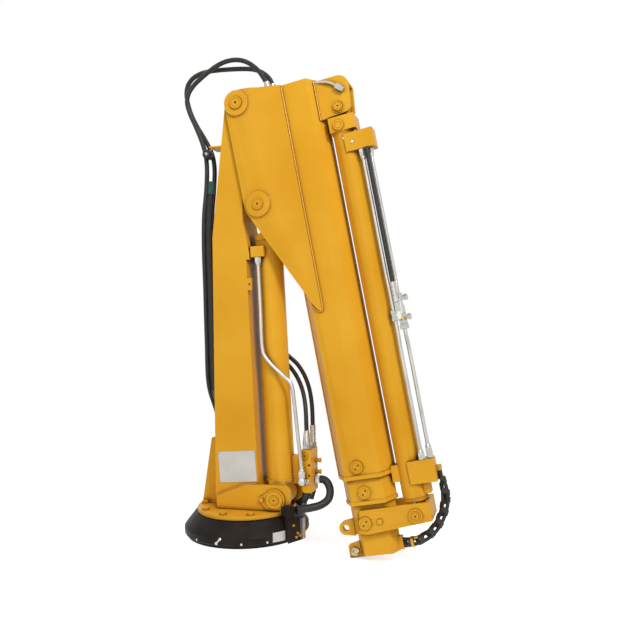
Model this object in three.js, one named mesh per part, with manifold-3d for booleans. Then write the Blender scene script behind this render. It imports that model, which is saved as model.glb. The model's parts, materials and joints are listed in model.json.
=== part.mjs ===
// Pickup truck crane: a slewing column, a lift cylinder and a folded four-section hydraulic boom.
// Millimetres, +Z up, +X from the column towards the boom, origin at the centre of the base's foot.
import * as THREE from "three";
import { mergeVertices } from "three/addons/utils/BufferGeometryUtils.js";
import Module from "manifold-3d";

const wasm = await Module();
wasm.setup();

// Clearances
const seatGap = 0.3; // between pieces that touch
const runGap = 0.6; // between a pin or rod and what turns or slides on it
const overrun = 20; // how far a cutting body runs past the wall it cuts

// Slewing drive: a fixed foot plate with its gear ring, and the housing that turns round it
const baseRadius = 200;
const baseHeight = 74;
const baseSideHeight = 38;
const baseTopInset = 34; // how far the shoulder's top edge lies inside the rim
const baseEdgeRadius = 6;
const footPlateInset = 10;
const footPlateThickness = 8;
const gearInset = 58; // from the housing's rim to the gear's teeth
const gearRimThickness = 52;
const wormTubeRadius = 33;
const wormTubeLength = 252;
const wormTubeInset = 8; // how far the tube's axis lies inside the housing's rim
const wormCapThickness = 9;
const motorFlangeSide = 68;
const motorFlangeThickness = 14;
const motorRadius = 30;
const motorLength = 74;
const motorPortRadius = 9;
const motorPortHeight = 8;
const motorPortAside = 12.6; // from the motor's middle to each of its two ports

// Turntable
const flangeRadius = 158;
const flangeThickness = 12;
const flangeGap = 2; // between the housing's top and the flange
const flangeBore = 60;
const flangeBoltInset = 18; // from the flange's edge to the middle of its bolts
const flangeBoltSpacing = 36; // degrees
const flangeBoltFirst = 64; // degrees
const flangeBoltsPerSide = 4;
const flangeBoltAcross = 22;
const flangeBoltHead = 9;

// Main pivots
const mainPinX = 20;
const mainPinZ = 1366;
const mainPinRadius = 20;
const footPinX = 122;
const footPinRadius = 16;
const footEyeRadius = 33;
const footEyeGap = 3; // under the cylinder's foot eye
const boomLean = 10; // degrees from plumb when folded
const liftPinU = 328; // along the boom from the main pin
const liftPinV = 10; // across the boom from the main pin
const liftPinRadius = 18;

// Boom sections, each given by its half width, and half the height of its flat sides and of its ridges
const boomHalfWidth = 62;
const boomFlatHeight = 57;
const boomRidgeHeight = 90;
const boomWall = 5;
const boomCentreV = 173; // from the main pin to the middle of the section
const boomRearU = -18;
const boomLength = 1234;
const sectionWall = 4;
const sectionStep = 4; // slide clearance between two sections
const bellyLength = 308; // rear stretch whose underside is flat, to let the lift pin's eye pass
const collarLength = 12;
const collarHeight = 3;
const sectionRearStep = 10; // how far each section starts behind the end of the one outside it
const sectionTwoOut = 80; // how far each folded section stands out of the one before
const sectionThreeOut = 92;
const sectionFourOut = 66;
const tipPlateThickness = 8;
const tipPortInset = 42; // from the last section's front end to the block where the tip hoses end
const tipPortLength = 40;
const tipPortHalfWidth = 11;
const tipPortHeight = 8;
const plugRadius = 20;
const plugHeight = 6;
const plugInset = 38; // from a section's front end to its wear pad plug

// Knee plates
const kneeThickness = 10;
const kneeTopV = 148;
const kneeLength = 694; // from the main pin to the plate's rounded end
const kneeRearU = -31;
const kneePinMargin = 42; // from the main pin's centre to the plate's edge
const kneeLiftMargin = 48; // from the lift pin's centre to the plate's edge
const kneeSlope = 26; // degrees
const kneeEndRadius = 34;
const kneeEdgeV = 112; // where the sloping edge reaches the boom
const bossRadius = 40;
const bossHeight = 8;
const pinEndHeight = 3;
const tieThickness = 12;
const tieHeight = 62;
const tieU = -14;
const tieV = 80;
const socketRadius = 9; // sockets on the tie plate where the column hoses end
const socketLength = 9.5;
const outerSocketY = -14;
const outerSocketV = 92.6;
const innerSocketY = 14;
const innerSocketV = 100.8;

// Column
const postDepthGap = 2; // between the column's cheeks and the knee plates
const postWall = 8;
const postWidth = 148; // at the flange
const postLeft = -82; // the column's left face at the flange
const postHeadRadius = 45;
const postBendZ = 950; // where the left face starts to lean in
const postNotchZ = 875; // foot of the wider head
const postNeckRise = 181; // from there up to the narrowest place of the head
const postLeftWallRise = 200; // how far the left wall runs above the bend
const postRightWallDrop = 16; // how far the right wall ends below the neck
const postNotchX = 37;
const postLipX = 48;
const postNeckX = 28;
const postBendX = -77;
const headTubeRadius = 33;
const bushThickness = 4;
const tabWidth = 14;
const tabHeight = 38;
const tabZ = 797;
const tabHole = 4;
const gussetThickness = 12;
const gussetFoot = 72;
const gussetTop = 36;
const gussetHeight = 212;
const earThickness = 12;
const earTopZ = 168;
const earReach = 51; // from the foot pin to the ear's outer edge
const earWeldX = 28; // where the doubler's sloping edge starts
const earWeldDrop = 40;
const earCorner = 22;
const footRingRadius = 27;
const footRingHeight = 4;
const keeperThickness = 5;
const keeperRadius = 34;
const keeperArm = 41; // from the foot pin to the keeper's bolt
const keeperArmRadius = 11;
const keeperLowX = 28; // the keeper's lower corner, left of the foot pin
const keeperBoltAcross = 15;
const keeperBoltHead = 7;

// Lift cylinder
const liftBarrelRadius = 45;
const liftBarrelBore = 37;
const liftRodShown = 109; // from the barrel's end to the lift pin with the rod drawn in
const liftBoreStart = 52;
const liftGlandLength = 22;
const liftRodRadius = 25;
const liftEyeRadius = 31;
const liftEyeHalfWidth = 46;
const liftPistonLength = 40;
const liftPistonStart = 62;
const footEyeHalfWidth = 56;
const footNeckShare = 0.8; // half height of the neck above the eye, as a share of the eye's radius
const liftPortSide = 44;
const liftPortHeight = 34;
const liftPortInset = 36; // from the barrel's end to the middle of its port block
const liftPortSideStep = 18; // how far the port sits towards the column
const liftPipeRadius = 6;
const liftPipeGap = 4; // between the pipe and the barrel
const liftPipeDrift = 10; // how far it leans out above its bend
const liftPipeBendHigh = 590; // height where it leaves the line of its port
const liftPipeBendLow = 433; // height where it has reached its lower line
const liftPipeX = 185; // its place there
const liftPipeBendShares = [
  [0.06, 0.12],
  [0.26, 0.28],
  [0.67, 0.52],
  [0.92, 0.68],
]; // across and down the bend
const liftUnionX = 206; // the elbow on the valve block where it ends
const liftUnionZ = 180;
const liftUnionRadius = 9;
const liftUnionLength = 32;
const backPortAlong = 470; // from the foot pin to the lower face of the port block behind the barrel
const backPortLength = 44;
const backPortHalfWidth = 22;
const backPortDepth = 24;

// Valve block on the lift cylinder
const valveX = 215;
const valveZ = 208;
const valveWidth = 32;
const valveDepth = 75;
const valveHeight = 134;
const valveChamfer = 8;
const valvePlugRadius = 10;
const valvePlugHeight = 4;
const valvePlugRise = 48; // above the block's middle
const valveStubRadius = 8;
const valveStubLength = 18;
const valveStubY = 16;
const valveStubRises = [27, -9]; // above the block's middle
const feedPortRadius = 14;
const feedPortLength = 16;
const feedPortY = 8;
const feedPortDrop = 32; // below the block's middle
const coneX = 212; // the tapered fitting on the block's top
const coneY = -15;
const coneFootRadius = 15;
const coneNutHeight = 14;
const coneHeight = 44;
const topNutX = 221; // the straight fitting behind it
const topNutY = 24;
const topNutRadius = 12;
const topNutHeight = 18;
const ferruleRadius = 9.5;
const ferruleHeight = 52;
const valveArmThickness = 12;
const valveArmHeight = 90;

// Extension cylinder on the boom's top side
const extAxisV = 309;
const extRadius = 39;
const extBore = 31;
const extPinU = 86;
const extPinRadius = 15;
const extEyeRadius = 27;
const extEyeHalfWidth = 24;
const extNeckShare = 0.7; // half height of the neck behind the eye, as a share of the eye's radius
const extBlockStart = 117;
const extBlockLength = 46;
const extBlockHalf = 42;
const extBlockBoss = 17;
const extBlockBossHeight = 5;
const extBlockBossShare = 0.62; // where the boss stands along its block
const extBarrelEnd = 1298;
const extGlandLength = 12;
const extGlandRadius = 37;
const extRodRadius = 15;
const extRodPinInset = 34; // from the bar's rear edge to the rod's pin
const extRodEyeRadius = 24;
const extRodEyeHalfWidth = 28;
const extPistonStart = 196;
const extPistonLength = 36;
const extBoreStart = 178;
const bracketThickness = 10;
const bracketLength = 125;
const bracketRearU = -10;
const bracketTopV = 354;
const bracketBaseV = 236;
const bracketEdgeRadius = 34;
const bracketBackWall = 7;
const bracketBossRadius = 20;
const bracketBossHeight = 4;
const portFront = 44; // how far a port block reaches to the front and to the back of the barrel's axis
const portBack = 16;
const portCorner = 12;
const upperPortU = 204;
const upperPortLength = 57;
const upperPortTop = 400;
const lowerPortInset = 76; // from the barrel's end to the block's middle
const lowerPortLength = 68;
const lowerPortTop = 390;
const lowerStepLength = 36;
const lowerStepTop = 362;
const tipElbowLength = 14; // elbows on the lower port block where the tip hoses start
const tipElbowShift = 8; // how far they reach past the block's middle
const tipElbowHalf = 6;
const tipElbowY = 8;
const tipElbowV = 396.5;
const saddleStart = 1196;
const saddleLength = 50;
const saddleHalfWidth = 24;
const saddleTopV = 290;
const pipeRadius = 6;
const pipeRise = 8; // from the barrel's crown to the middle of the low pipes
const pipeSpacing = 23; // from the low pipes up to the high ones
const lowPipeY = -34;
const highPipeY = -20;
const boomHoseY = -42;
const boomHoseDrop = 7; // below the high pipes
const pipeBend = 36; // length in which a pipe shifts to its next line
const pipeStraight = 16; // straight end of a pipe in front of its union
const unionStart = 686; // the union's main tube
const unionEnd = 796;
const unionY = -26;
const unionRadius = 11;
const unionStubRadius = 8;
const unionStubLength = 27;
const unionElbowShare = 0.14; // where its two outlets stand, as shares of its length
const unionTeeShare = 0.68;
const unionNutRadius = 15;
const unionNutLength = 16;
const unionInletStart = 734; // the two sockets below the main tube
const unionInletEnd = 768;
const unionInletDrop = 22;
const unionInletRadius = 9;
const hoseNippleStart = 712;
const hoseNippleEnd = 738;

// Extension bar at the front of the third section
const barThickness = 12;
const barInset = 77; // from the third section's front end to the bar's rear edge
const barLeftV = 129;
const barTopV = 355;
const barRootLength = 73;
const barTopLength = 55;
const barPinBoss = 21;
const barPinBossHeight = 6;
const lugThickness = 22;
const hookLugInset = 19; // from the third section's front end
const hookLugV = 76;
const hookLugRadius = 22;
const hookHoleRadius = 10;
const hookLugRoot = 60;
const tipLugInset = 12; // from the last section's front end
const tipLugV = 92;
const tipLugRadius = 19;
const tipLugRoot = 56;
const tipPinRadius = 9;
const tipPinHead = 14;
const tipPinHeadHeight = 5;

// Hose bracket, guard plate and manifold on the turntable
const hoseBracketX = 190;
const hoseBracketY = -104;
const hoseBracketWidth = 31;
const hoseBracketThickness = 8;
const hoseBracketFoot = 14;
const hoseBracketTop = 112;
const hoseBracketHead = 20;
const hoseBracketHeadHeight = 28;
const guardThickness = 3;
const guardFoot = 4;
const guardTop = 76;
const guardWidth = 60;
const manifoldX = -108;
const manifoldY = 62;
const manifoldLength = 44;
const manifoldWidth = 26;
const manifoldHeight = 26;
const clipZ = 1240; // the strap that holds the hoses off the column's head
const clipThickness = 4;
const clipLength = 42; // from the column's left face
const clipHalfWidth = 8;

// Hoses
const columnHoseRadius = 7.5;
const boomHoseRadius = 7;
const feedHoseRadius = 12.5;
const valveHoseRadius = 7;
const tipHoseRadius = 5.5;

// Detail of the round faces
const roundSides = 24;
const largeSides = 48;
const smallSides = 14;
const hexSides = 6;
const tubeSides = 8;
const feedHoseSides = 10;
const arcSteps = 7;
const pipeSteps = 15;
const columnHoseSteps = 36;
const feedHoseSteps = 9;
const valveHoseSteps = 12;
const tipHoseSteps = 14;
const boomHoseSteps = 8;
const mergeTolerance = 1e-4;

// Values that follow from the ones above
const housingFoot = footPlateThickness + flangeGap;
const footPlateRadius = baseRadius - footPlateInset;
const gearRadius = baseRadius - gearInset;
const flangeBottom = baseHeight + flangeGap;
const flangeTop = flangeBottom + flangeThickness;
const wormY = baseRadius - wormTubeInset;
const wormZ = housingFoot + wormTubeRadius;
const wormEnd = wormTubeLength / 2;
const footPinZ = flangeTop + footEyeRadius + footEyeGap;
const lean = THREE.MathUtils.degToRad(boomLean);
const alongBoom = new THREE.Vector2(Math.sin(lean), -Math.cos(lean));
const acrossBoom = new THREE.Vector2(Math.cos(lean), Math.sin(lean));
const liftPinX = mainPinX + liftPinU * alongBoom.x + liftPinV * acrossBoom.x;
const liftPinZ = mainPinZ + liftPinU * alongBoom.y + liftPinV * acrossBoom.y;
const liftLength = Math.hypot(liftPinX - footPinX, liftPinZ - footPinZ);
const liftAngle = Math.atan2(liftPinZ - footPinZ, liftPinX - footPinX);
const liftBarrelLength = liftLength - liftRodShown;
const liftPortAlong = liftBarrelLength - liftPortInset;
const postHalfDepth = boomHalfWidth - postDepthGap;
const postNeckZ = postNotchZ + postNeckRise;
const postLeftWallTop = postBendZ + postLeftWallRise;
const postRightWallTop = postNeckZ - postRightWallDrop;
const kneeOuter = boomHalfWidth + seatGap + kneeThickness;
const boomFrontU = boomRearU + boomLength;
const bellyEnd = boomRearU + bellyLength;
const sectionTwoFront = boomFrontU + sectionTwoOut;
const sectionThreeFront = sectionTwoFront + sectionThreeOut;
const sectionFourFront = sectionThreeFront + sectionFourOut;
const tipPortStart = sectionFourFront - tipPortInset;
const tipLugU = sectionFourFront - tipLugInset;
const hookLugU = sectionThreeFront - hookLugInset;
const barStartU = sectionThreeFront - barInset;
const extRodPinU = barStartU + extRodPinInset;
const lowerPortU = extBarrelEnd - lowerPortInset;

// Finishes
const finish = (color, metalness, roughness) => new THREE.MeshStandardMaterial({ color, metalness, roughness });
const paint = finish(0xe0a32a, 0.0, 0.42);
const blackPaint = finish(0x24211f, 0.0, 0.5);
const steel = finish(0xc9c8c3, 1.0, 0.28);
const chrome = finish(0xdfe0e2, 1.0, 0.12);
const bronze = finish(0xa8793a, 1.0, 0.4);
const rubber = finish(0x1f1c1b, 0.0, 0.7);
const iron = finish(0x3b3937, 0.6, 0.6);

// Booleans and placement
function solidOf(geometry) {
  const bare = geometry.clone();
  bare.deleteAttribute("normal");
  bare.deleteAttribute("uv");
  const merged = mergeVertices(bare, mergeTolerance);
  const solid = new wasm.Manifold(
    new wasm.Mesh({
      numProp: 3,
      vertProperties: merged.attributes.position.array,
      triVerts: new Uint32Array(merged.index.array),
    }),
  );
  return solid;
}

function geometryOf(solid) {
  const mesh = solid.getMesh();
  const geometry = new THREE.BufferGeometry();
  geometry.setAttribute("position", new THREE.BufferAttribute(mesh.vertProperties, mesh.numProp));
  geometry.setIndex(new THREE.BufferAttribute(mesh.triVerts, 1));
  geometry.computeVertexNormals();
  return geometry;
}

const join = (...parts) => geometryOf(parts.map(solidOf).reduce((a, b) => a.add(b)));
const cut = (body, ...tools) => geometryOf(tools.map(solidOf).reduce((a, b) => a.subtract(b), solidOf(body)));
const point = (x, y) => new THREE.Vector2(x, y);

// A plate whose outline lies in X and Z, from one Y to another
function plate(outline, fromY, toY) {
  const shape = outline instanceof THREE.Shape ? outline : new THREE.Shape(outline);
  const options = { depth: toY - fromY, bevelEnabled: false, curveSegments: arcSteps };
  return new THREE.ExtrudeGeometry(shape, options).rotateX(Math.PI / 2).translate(0, toY, 0);
}

// A bar whose section lies in Y and Z, from one X to another
function bar(outline, fromX, toX) {
  const shape = outline instanceof THREE.Shape ? outline : new THREE.Shape(outline);
  const turn = new THREE.Matrix4().makeBasis(
    new THREE.Vector3(0, 1, 0),
    new THREE.Vector3(0, 0, 1),
    new THREE.Vector3(1, 0, 0),
  );
  const options = { depth: toX - fromX, bevelEnabled: false, curveSegments: arcSteps };
  return new THREE.ExtrudeGeometry(shape, options).applyMatrix4(turn).translate(fromX, 0, 0);
}

// A slab whose outline lies in X and Y, from one Z to another
function slab(outline, fromZ, toZ) {
  const shape = outline instanceof THREE.Shape ? outline : new THREE.Shape(outline);
  const options = { depth: toZ - fromZ, bevelEnabled: false, curveSegments: arcSteps };
  return new THREE.ExtrudeGeometry(shape, options).translate(0, 0, fromZ);
}

function block(x0, x1, y0, y1, z0, z1) {
  const box = new THREE.BoxGeometry(x1 - x0, y1 - y0, z1 - z0);
  return box.translate((x0 + x1) / 2, (y0 + y1) / 2, (z0 + z1) / 2);
}

const roundY = (radius, fromY, toY, x, z, sides = roundSides) =>
  new THREE.CylinderGeometry(radius, radius, toY - fromY, sides).translate(x, (fromY + toY) / 2, z);
const roundX = (radius, fromX, toX, y, z, sides = roundSides) =>
  new THREE.CylinderGeometry(radius, radius, toX - fromX, sides)
    .rotateZ(-Math.PI / 2)
    .translate((fromX + toX) / 2, y, z);
const roundZ = (radius, fromZ, toZ, x, y, sides = roundSides) =>
  new THREE.CylinderGeometry(radius, radius, toZ - fromZ, sides)
    .rotateX(Math.PI / 2)
    .translate(x, y, (fromZ + toZ) / 2);

// A turned piece about Z: the profile's points are radius and height
function turned(profile) {
  return new THREE.LatheGeometry(profile, largeSides).rotateX(Math.PI / 2);
}

// The place where a line from a point touches a circle, on its left or right side
function touch(from, centre, radius, side) {
  const reach = from.distanceTo(centre);
  const heading = Math.atan2(centre.y - from.y, centre.x - from.x);
  const angle = heading + side * Math.asin(radius / reach);
  const length = Math.sqrt(reach * reach - radius * radius);
  return point(from.x + length * Math.cos(angle), from.y + length * Math.sin(angle));
}

// Points on an arc, from one angle to another in degrees
function arc(x, y, radius, from, to) {
  const points = [];
  for (let i = 0; i <= arcSteps; i++) {
    const angle = THREE.MathUtils.degToRad(from + ((to - from) * i) / arcSteps);
    points.push(point(x + radius * Math.cos(angle), y + radius * Math.sin(angle)));
  }
  return points;
}

// A pipe or hose through a list of X, Y, Z places
function tube(places, radius, sides, steps) {
  const path = new THREE.CatmullRomCurve3(places.map((p) => new THREE.Vector3(...p)), false, "centripetal");
  const ring = [];
  for (let i = 0; i < sides; i++) {
    const angle = (2 * Math.PI * i) / sides;
    ring.push(point(radius * Math.cos(angle), radius * Math.sin(angle)));
  }
  return new THREE.ExtrudeGeometry(new THREE.Shape(ring), { steps, extrudePath: path, bevelEnabled: false });
}

const crane = new THREE.Group();
const boom = new THREE.Group();
boom.position.set(mainPinX, 0, mainPinZ);
boom.rotation.y = Math.PI / 2 - lean;
crane.add(boom);
const lift = new THREE.Group();
lift.position.set(footPinX, 0, footPinZ);
lift.rotation.y = -liftAngle;
crane.add(lift);

function piece(name, geometry, material, parent = crane) {
  const mesh = new THREE.Mesh(geometry, material);
  mesh.name = name;
  parent.add(mesh);
  return mesh;
}

// Slewing drive: the foot plate, its gear ring, and the black housing with its worm tube and motor
function footPlate() {
  return roundZ(footPlateRadius, 0, footPlateThickness, 0, 0, largeSides);
}

function gearRing() {
  const gearBore = gearRadius - gearRimThickness;
  const bottom = footPlateThickness + seatGap;
  const top = baseHeight - seatGap;
  return turned([
    point(gearBore, bottom),
    point(gearRadius, bottom),
    point(gearRadius, top),
    point(gearBore, top),
    point(gearBore, bottom),
  ]);
}

function slewHousing() {
  const cavity = gearRadius + runGap;
  const ring = turned([
    point(cavity, housingFoot),
    point(baseRadius - baseEdgeRadius / 2, housingFoot),
    point(baseRadius, housingFoot + baseEdgeRadius / 2),
    point(baseRadius, baseSideHeight - baseEdgeRadius),
    point(baseRadius - baseEdgeRadius / 2, baseSideHeight - baseEdgeRadius / 3),
    point(baseRadius - baseTopInset, baseHeight),
    point(cavity, baseHeight),
    point(cavity, housingFoot),
  ]);
  const half = wormTubeLength / 2;
  const worm = roundX(wormTubeRadius, -half, half, wormY, wormZ);
  return join(ring, cut(worm, roundZ(cavity, -overrun, baseHeight + overrun, 0, 0)));
}

function slewMotor() {
  const start = -wormEnd - seatGap;
  const half = motorFlangeSide / 2;
  const flangeEnd = start - motorFlangeThickness;
  const flange = block(flangeEnd, start, wormY - half, wormY + half, wormZ - half, wormZ + half);
  const end = flangeEnd - motorLength;
  const body = roundX(motorRadius, end, flangeEnd, wormY, wormZ);
  const portX = (end + flangeEnd) / 2;
  const portTop = wormZ + motorRadius + motorPortHeight;
  const ports = [-1, 1].map((side) =>
    roundZ(motorPortRadius, wormZ, portTop, portX + side * motorPortAside, wormY, smallSides),
  );
  return join(flange, body, ...ports);
}

piece("foot_plate", footPlate(), blackPaint);
piece("slew_gear_ring", gearRing(), iron);
piece("slew_housing", slewHousing(), blackPaint);
piece(
  "worm_end_cap",
  roundX(wormTubeRadius - baseEdgeRadius, wormEnd + seatGap, wormEnd + wormCapThickness, wormY, wormZ),
  iron,
);
piece("slew_motor", slewMotor(), iron);

// Turntable: the bolted flange on the housing, which carries the column
function turntableFlange() {
  const disc = roundZ(flangeRadius, flangeBottom, flangeTop, 0, 0, largeSides);
  const flangeBoltCircle = flangeRadius - flangeBoltInset;
  const bore = roundZ(flangeBore, flangeBottom - overrun, flangeTop + overrun, 0, 0);
  const heads = [];
  for (const side of [-1, 1]) {
    for (let i = 0; i < flangeBoltsPerSide; i++) {
      const angle = THREE.MathUtils.degToRad(side * (flangeBoltFirst + i * flangeBoltSpacing));
      const x = flangeBoltCircle * Math.cos(angle);
      const y = flangeBoltCircle * Math.sin(angle);
      heads.push(roundZ(flangeBoltAcross / 2, flangeBottom, flangeTop + flangeBoltHead, x, y, hexSides));
    }
  }
  return join(cut(disc, bore), ...heads);
}

piece("turntable_flange", turntableFlange(), paint);

// Column: a tapered box whose two cheeks run up into a round head for the main pin
function columnPost() {
  const foot = flangeTop + seatGap;
  const right = postLeft + postWidth;
  const pin = point(mainPinX, mainPinZ);
  const neck = point(postNeckX, postNeckZ);
  const bend = point(postBendX, postBendZ);
  const rightTouch = touch(neck, pin, postHeadRadius, -1);
  const leftTouch = touch(bend, pin, postHeadRadius, 1);
  const lipRise = postLipX - postNeckX;
  const outline = [
    point(postLeft, foot),
    point(right, foot),
    point(postNotchX, postNotchZ),
    point(postLipX, postNotchZ),
    point(postLipX, postNotchZ + lipRise),
    point(postNeckX, postNeckZ - 3 * lipRise),
    neck,
    rightTouch,
    leftTouch,
    bend,
  ];
  const body = plate(outline, -postHalfDepth, postHalfDepth);
  const head = roundY(postHeadRadius, -postHalfDepth, postHalfDepth, mainPinX, mainPinZ);
  const inner = postHalfDepth - postWall;
  const farLeft = postLeft - postWidth;
  const farRight = right + postWidth;
  const top = mainPinZ + postWidth;
  const hollow = plate(
    [
      point(postLeft + postWall, foot - overrun),
      point(right - 2 * postWall, foot - overrun),
      point(postNotchX - 2 * postWall, postNotchZ),
      point(postNeckX - 2 * postWall, postRightWallTop),
      point(farRight, postRightWallTop),
      point(farRight, top),
      point(farLeft, top),
      point(farLeft, postLeftWallTop),
      point(postBendX + 3 * postWall, postLeftWallTop),
      point(postBendX + postWall, postBendZ),
    ],
    -inner,
    inner,
  );
  const tubeAcross = roundY(headTubeRadius, -postHalfDepth, postHalfDepth, mainPinX, mainPinZ);
  const bore = mainPinRadius + runGap + bushThickness + seatGap;
  const pinBore = roundY(bore, -postHalfDepth - overrun, postHalfDepth + overrun, mainPinX, mainPinZ);
  const edge = postNotchX + ((postNotchZ - tabZ) / (postNotchZ - foot)) * (right - postNotchX);
  const tab = block(
    edge - tabWidth / 2,
    edge + tabWidth,
    -postHalfDepth,
    -postHalfDepth + postWall,
    tabZ - tabHeight / 2,
    tabZ + tabHeight / 2,
  );
  const clipShare = (clipZ - bend.y) / (leftTouch.y - bend.y);
  const clipFace = bend.x + clipShare * (leftTouch.x - bend.x);
  const clip = block(
    clipFace - clipLength,
    clipFace + postWall,
    -postHalfDepth,
    clipHalfWidth,
    clipZ - clipThickness / 2,
    clipZ + clipThickness / 2,
  );
  const holeX = edge + tabWidth / 2;
  const hole = roundY(tabHole, -postHalfDepth - overrun, -postHalfDepth + overrun, holeX, tabZ, smallSides);
  const barrel = roundX(liftBarrelRadius + runGap, 0, liftLength, 0, 0);
  barrel.rotateY(-liftAngle).translate(footPinX, 0, footPinZ);
  return cut(join(cut(join(body, head), hollow), tubeAcross, tab, clip), pinBore, hole, barrel);
}

function mainBush() {
  const outer = mainPinRadius + runGap + bushThickness;
  const body = roundY(outer, -postHalfDepth, postHalfDepth, mainPinX, mainPinZ);
  const reach = postHalfDepth + overrun;
  return cut(body, roundY(mainPinRadius + runGap, -reach, reach, mainPinX, mainPinZ));
}

function gusset() {
  const foot = flangeTop + seatGap;
  const root = postLeft - seatGap;
  const outline = [
    point(root, foot),
    point(root, foot + gussetHeight + gussetTop / 4),
    point(root - gussetTop, foot + gussetHeight),
    point(root - gussetFoot, foot),
  ];
  return plate(outline, -gussetThickness / 2, gussetThickness / 2);
}

// The doubler on one cheek that runs out into the ear of the cylinder's foot
function footEar(side) {
  const foot = flangeTop + seatGap;
  const edge = footPinX + earReach;
  const corner = arc(edge - earCorner, earTopZ - earCorner, earCorner, 0, 90);
  const lower = new THREE.QuadraticBezierCurve(
    point(edge - 2 * earCorner, foot),
    point(edge - earCorner / 4, foot),
    point(edge, footPinZ),
  ).getPoints(arcSteps);
  const outline = [
    point(postLeft + postWall, foot),
    ...lower,
    ...corner,
    point(earWeldX, earTopZ),
    point(postLeft + postWall, earTopZ - earWeldDrop),
  ];
  const near = postHalfDepth + seatGap;
  const far = near + earThickness;
  const y0 = side < 0 ? -far : near;
  const y1 = side < 0 ? -near : far;
  const ringY0 = side < 0 ? -far - footRingHeight : far - seatGap;
  const ringY1 = side < 0 ? -far + seatGap : far + footRingHeight;
  const body = side < 0 ? plate(outline, y0, y1) : join(
    plate(outline, y0, y1),
    roundY(footRingRadius, ringY0, ringY1, footPinX, footPinZ),
  );
  const reach = far + overrun;
  return cut(body, roundY(footPinRadius + seatGap, -reach, reach, footPinX, footPinZ));
}

// The pin's keeper: a plate with a lobe for its bolt, an angled lower edge and a raised ring round the pin
function footKeeper() {
  const y = -(postHalfDepth + seatGap + earThickness + seatGap);
  const pin = point(footPinX, footPinZ);
  const bolt = point(footPinX - keeperArm, footPinZ);
  const low = pin.y - keeperRadius;
  const outline = [
    ...arc(bolt.x, bolt.y, keeperArmRadius, 80, 260),
    point(pin.x - keeperLowX, low + keeperThickness),
    point(pin.x, low),
    point(pin.x + keeperLowX, low + 2 * keeperThickness),
    ...arc(pin.x, pin.y, keeperRadius, -20, 120),
  ];
  const body = plate(outline, y - keeperThickness, y);
  const head = roundY(keeperBoltAcross / 2, y - keeperThickness - keeperBoltHead, y, bolt.x, bolt.y, hexSides);
  const ring = roundY(footRingRadius, y - keeperThickness - footRingHeight, y, pin.x, pin.y);
  const bore = roundY(footPinRadius + seatGap, y - overrun, y + overrun, pin.x, pin.y);
  return cut(join(body, head, ring), bore);
}

function footPin() {
  const reach = postHalfDepth + earThickness + keeperThickness + footRingHeight + 2 * seatGap;
  return roundY(footPinRadius, -reach, reach, footPinX, footPinZ);
}

piece("column_post", columnPost(), paint);
piece("main_pin_bush", mainBush(), bronze);
piece("column_gusset", gusset(), paint);
piece("foot_ear_front", footEar(-1), paint);
piece("foot_ear_back", footEar(1), paint);
piece("foot_pin_keeper", footKeeper(), paint);
piece("foot_pin", footPin(), steel);

// Hose bracket beside the housing, its guard plate, and the manifold where the column's hoses end
const earCornerReach = Math.hypot(footPinX + earReach, postHalfDepth + earThickness + keeperThickness);
const hoseBracketInner = Math.max(baseRadius, earCornerReach) + seatGap;

function hoseBracket() {
  const radial = point(hoseBracketX, hoseBracketY).normalize();
  const inner = hoseBracketInner;
  const outer = inner + hoseBracketThickness;
  const angle = Math.atan2(radial.y, radial.x);
  const half = hoseBracketWidth / 2;
  const leg = block(inner, outer, -half, half, hoseBracketFoot, hoseBracketTop);
  const headBottom = hoseBracketTop - hoseBracketHeadHeight;
  const head = block(inner - hoseBracketHead, outer, -half, half, headBottom, hoseBracketTop);
  return join(leg, head).rotateZ(angle);
}

function guardPlate() {
  const inner = hoseBracketInner + hoseBracketThickness + seatGap;
  const radial = point(hoseBracketX, hoseBracketY).normalize();
  const angle = Math.atan2(radial.y, radial.x);
  const half = hoseBracketWidth / 2;
  const slope = guardWidth - hoseBracketWidth;
  const outline = [
    point(inner, -half),
    point(inner + guardThickness, -half),
    point(inner + guardThickness, half + slope),
    point(inner, half + slope),
  ];
  return slab(outline, guardFoot, guardTop).rotateZ(angle);
}

function manifold() {
  const foot = flangeTop + seatGap;
  const body = block(
    manifoldX - manifoldWidth / 2,
    manifoldX + manifoldWidth / 2,
    manifoldY - manifoldLength / 2,
    manifoldY + manifoldLength / 2,
    foot,
    foot + manifoldHeight,
  );
  return body;
}

piece("hose_bracket", hoseBracket(), blackPaint);
piece("guard_plate", guardPlate(), steel);
piece("hose_manifold", manifold(), steel);

// Boom sections: hollow bars with flat sides and roof-shaped top and bottom
function sectionOutline(halfWidth, halfFlat, halfRidge) {
  return [
    point(-halfWidth, boomCentreV - halfFlat),
    point(0, boomCentreV - halfRidge),
    point(halfWidth, boomCentreV - halfFlat),
    point(halfWidth, boomCentreV + halfFlat),
    point(0, boomCentreV + halfRidge),
    point(-halfWidth, boomCentreV + halfFlat),
  ];
}

// The size of the section that lies so many walls and clearances inside the outer boom
function sectionSize(inset) {
  return [boomHalfWidth - inset, boomFlatHeight - inset / 2, boomRidgeHeight - inset];
}

function hollowSection(inset, wall, fromU, toU) {
  const body = bar(sectionOutline(...sectionSize(inset)), fromU, toU);
  return cut(body, bar(sectionOutline(...sectionSize(inset + wall)), fromU - overrun, toU + overrun));
}

function sectionPlugs(halfWidth, u, v, radius) {
  return [-1, 1].map((s) => {
    const face = s * (halfWidth - sectionWall / 2);
    const out = s * (halfWidth + plugHeight);
    return roundY(radius, Math.min(face, out), Math.max(face, out), u, v);
  });
}

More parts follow.
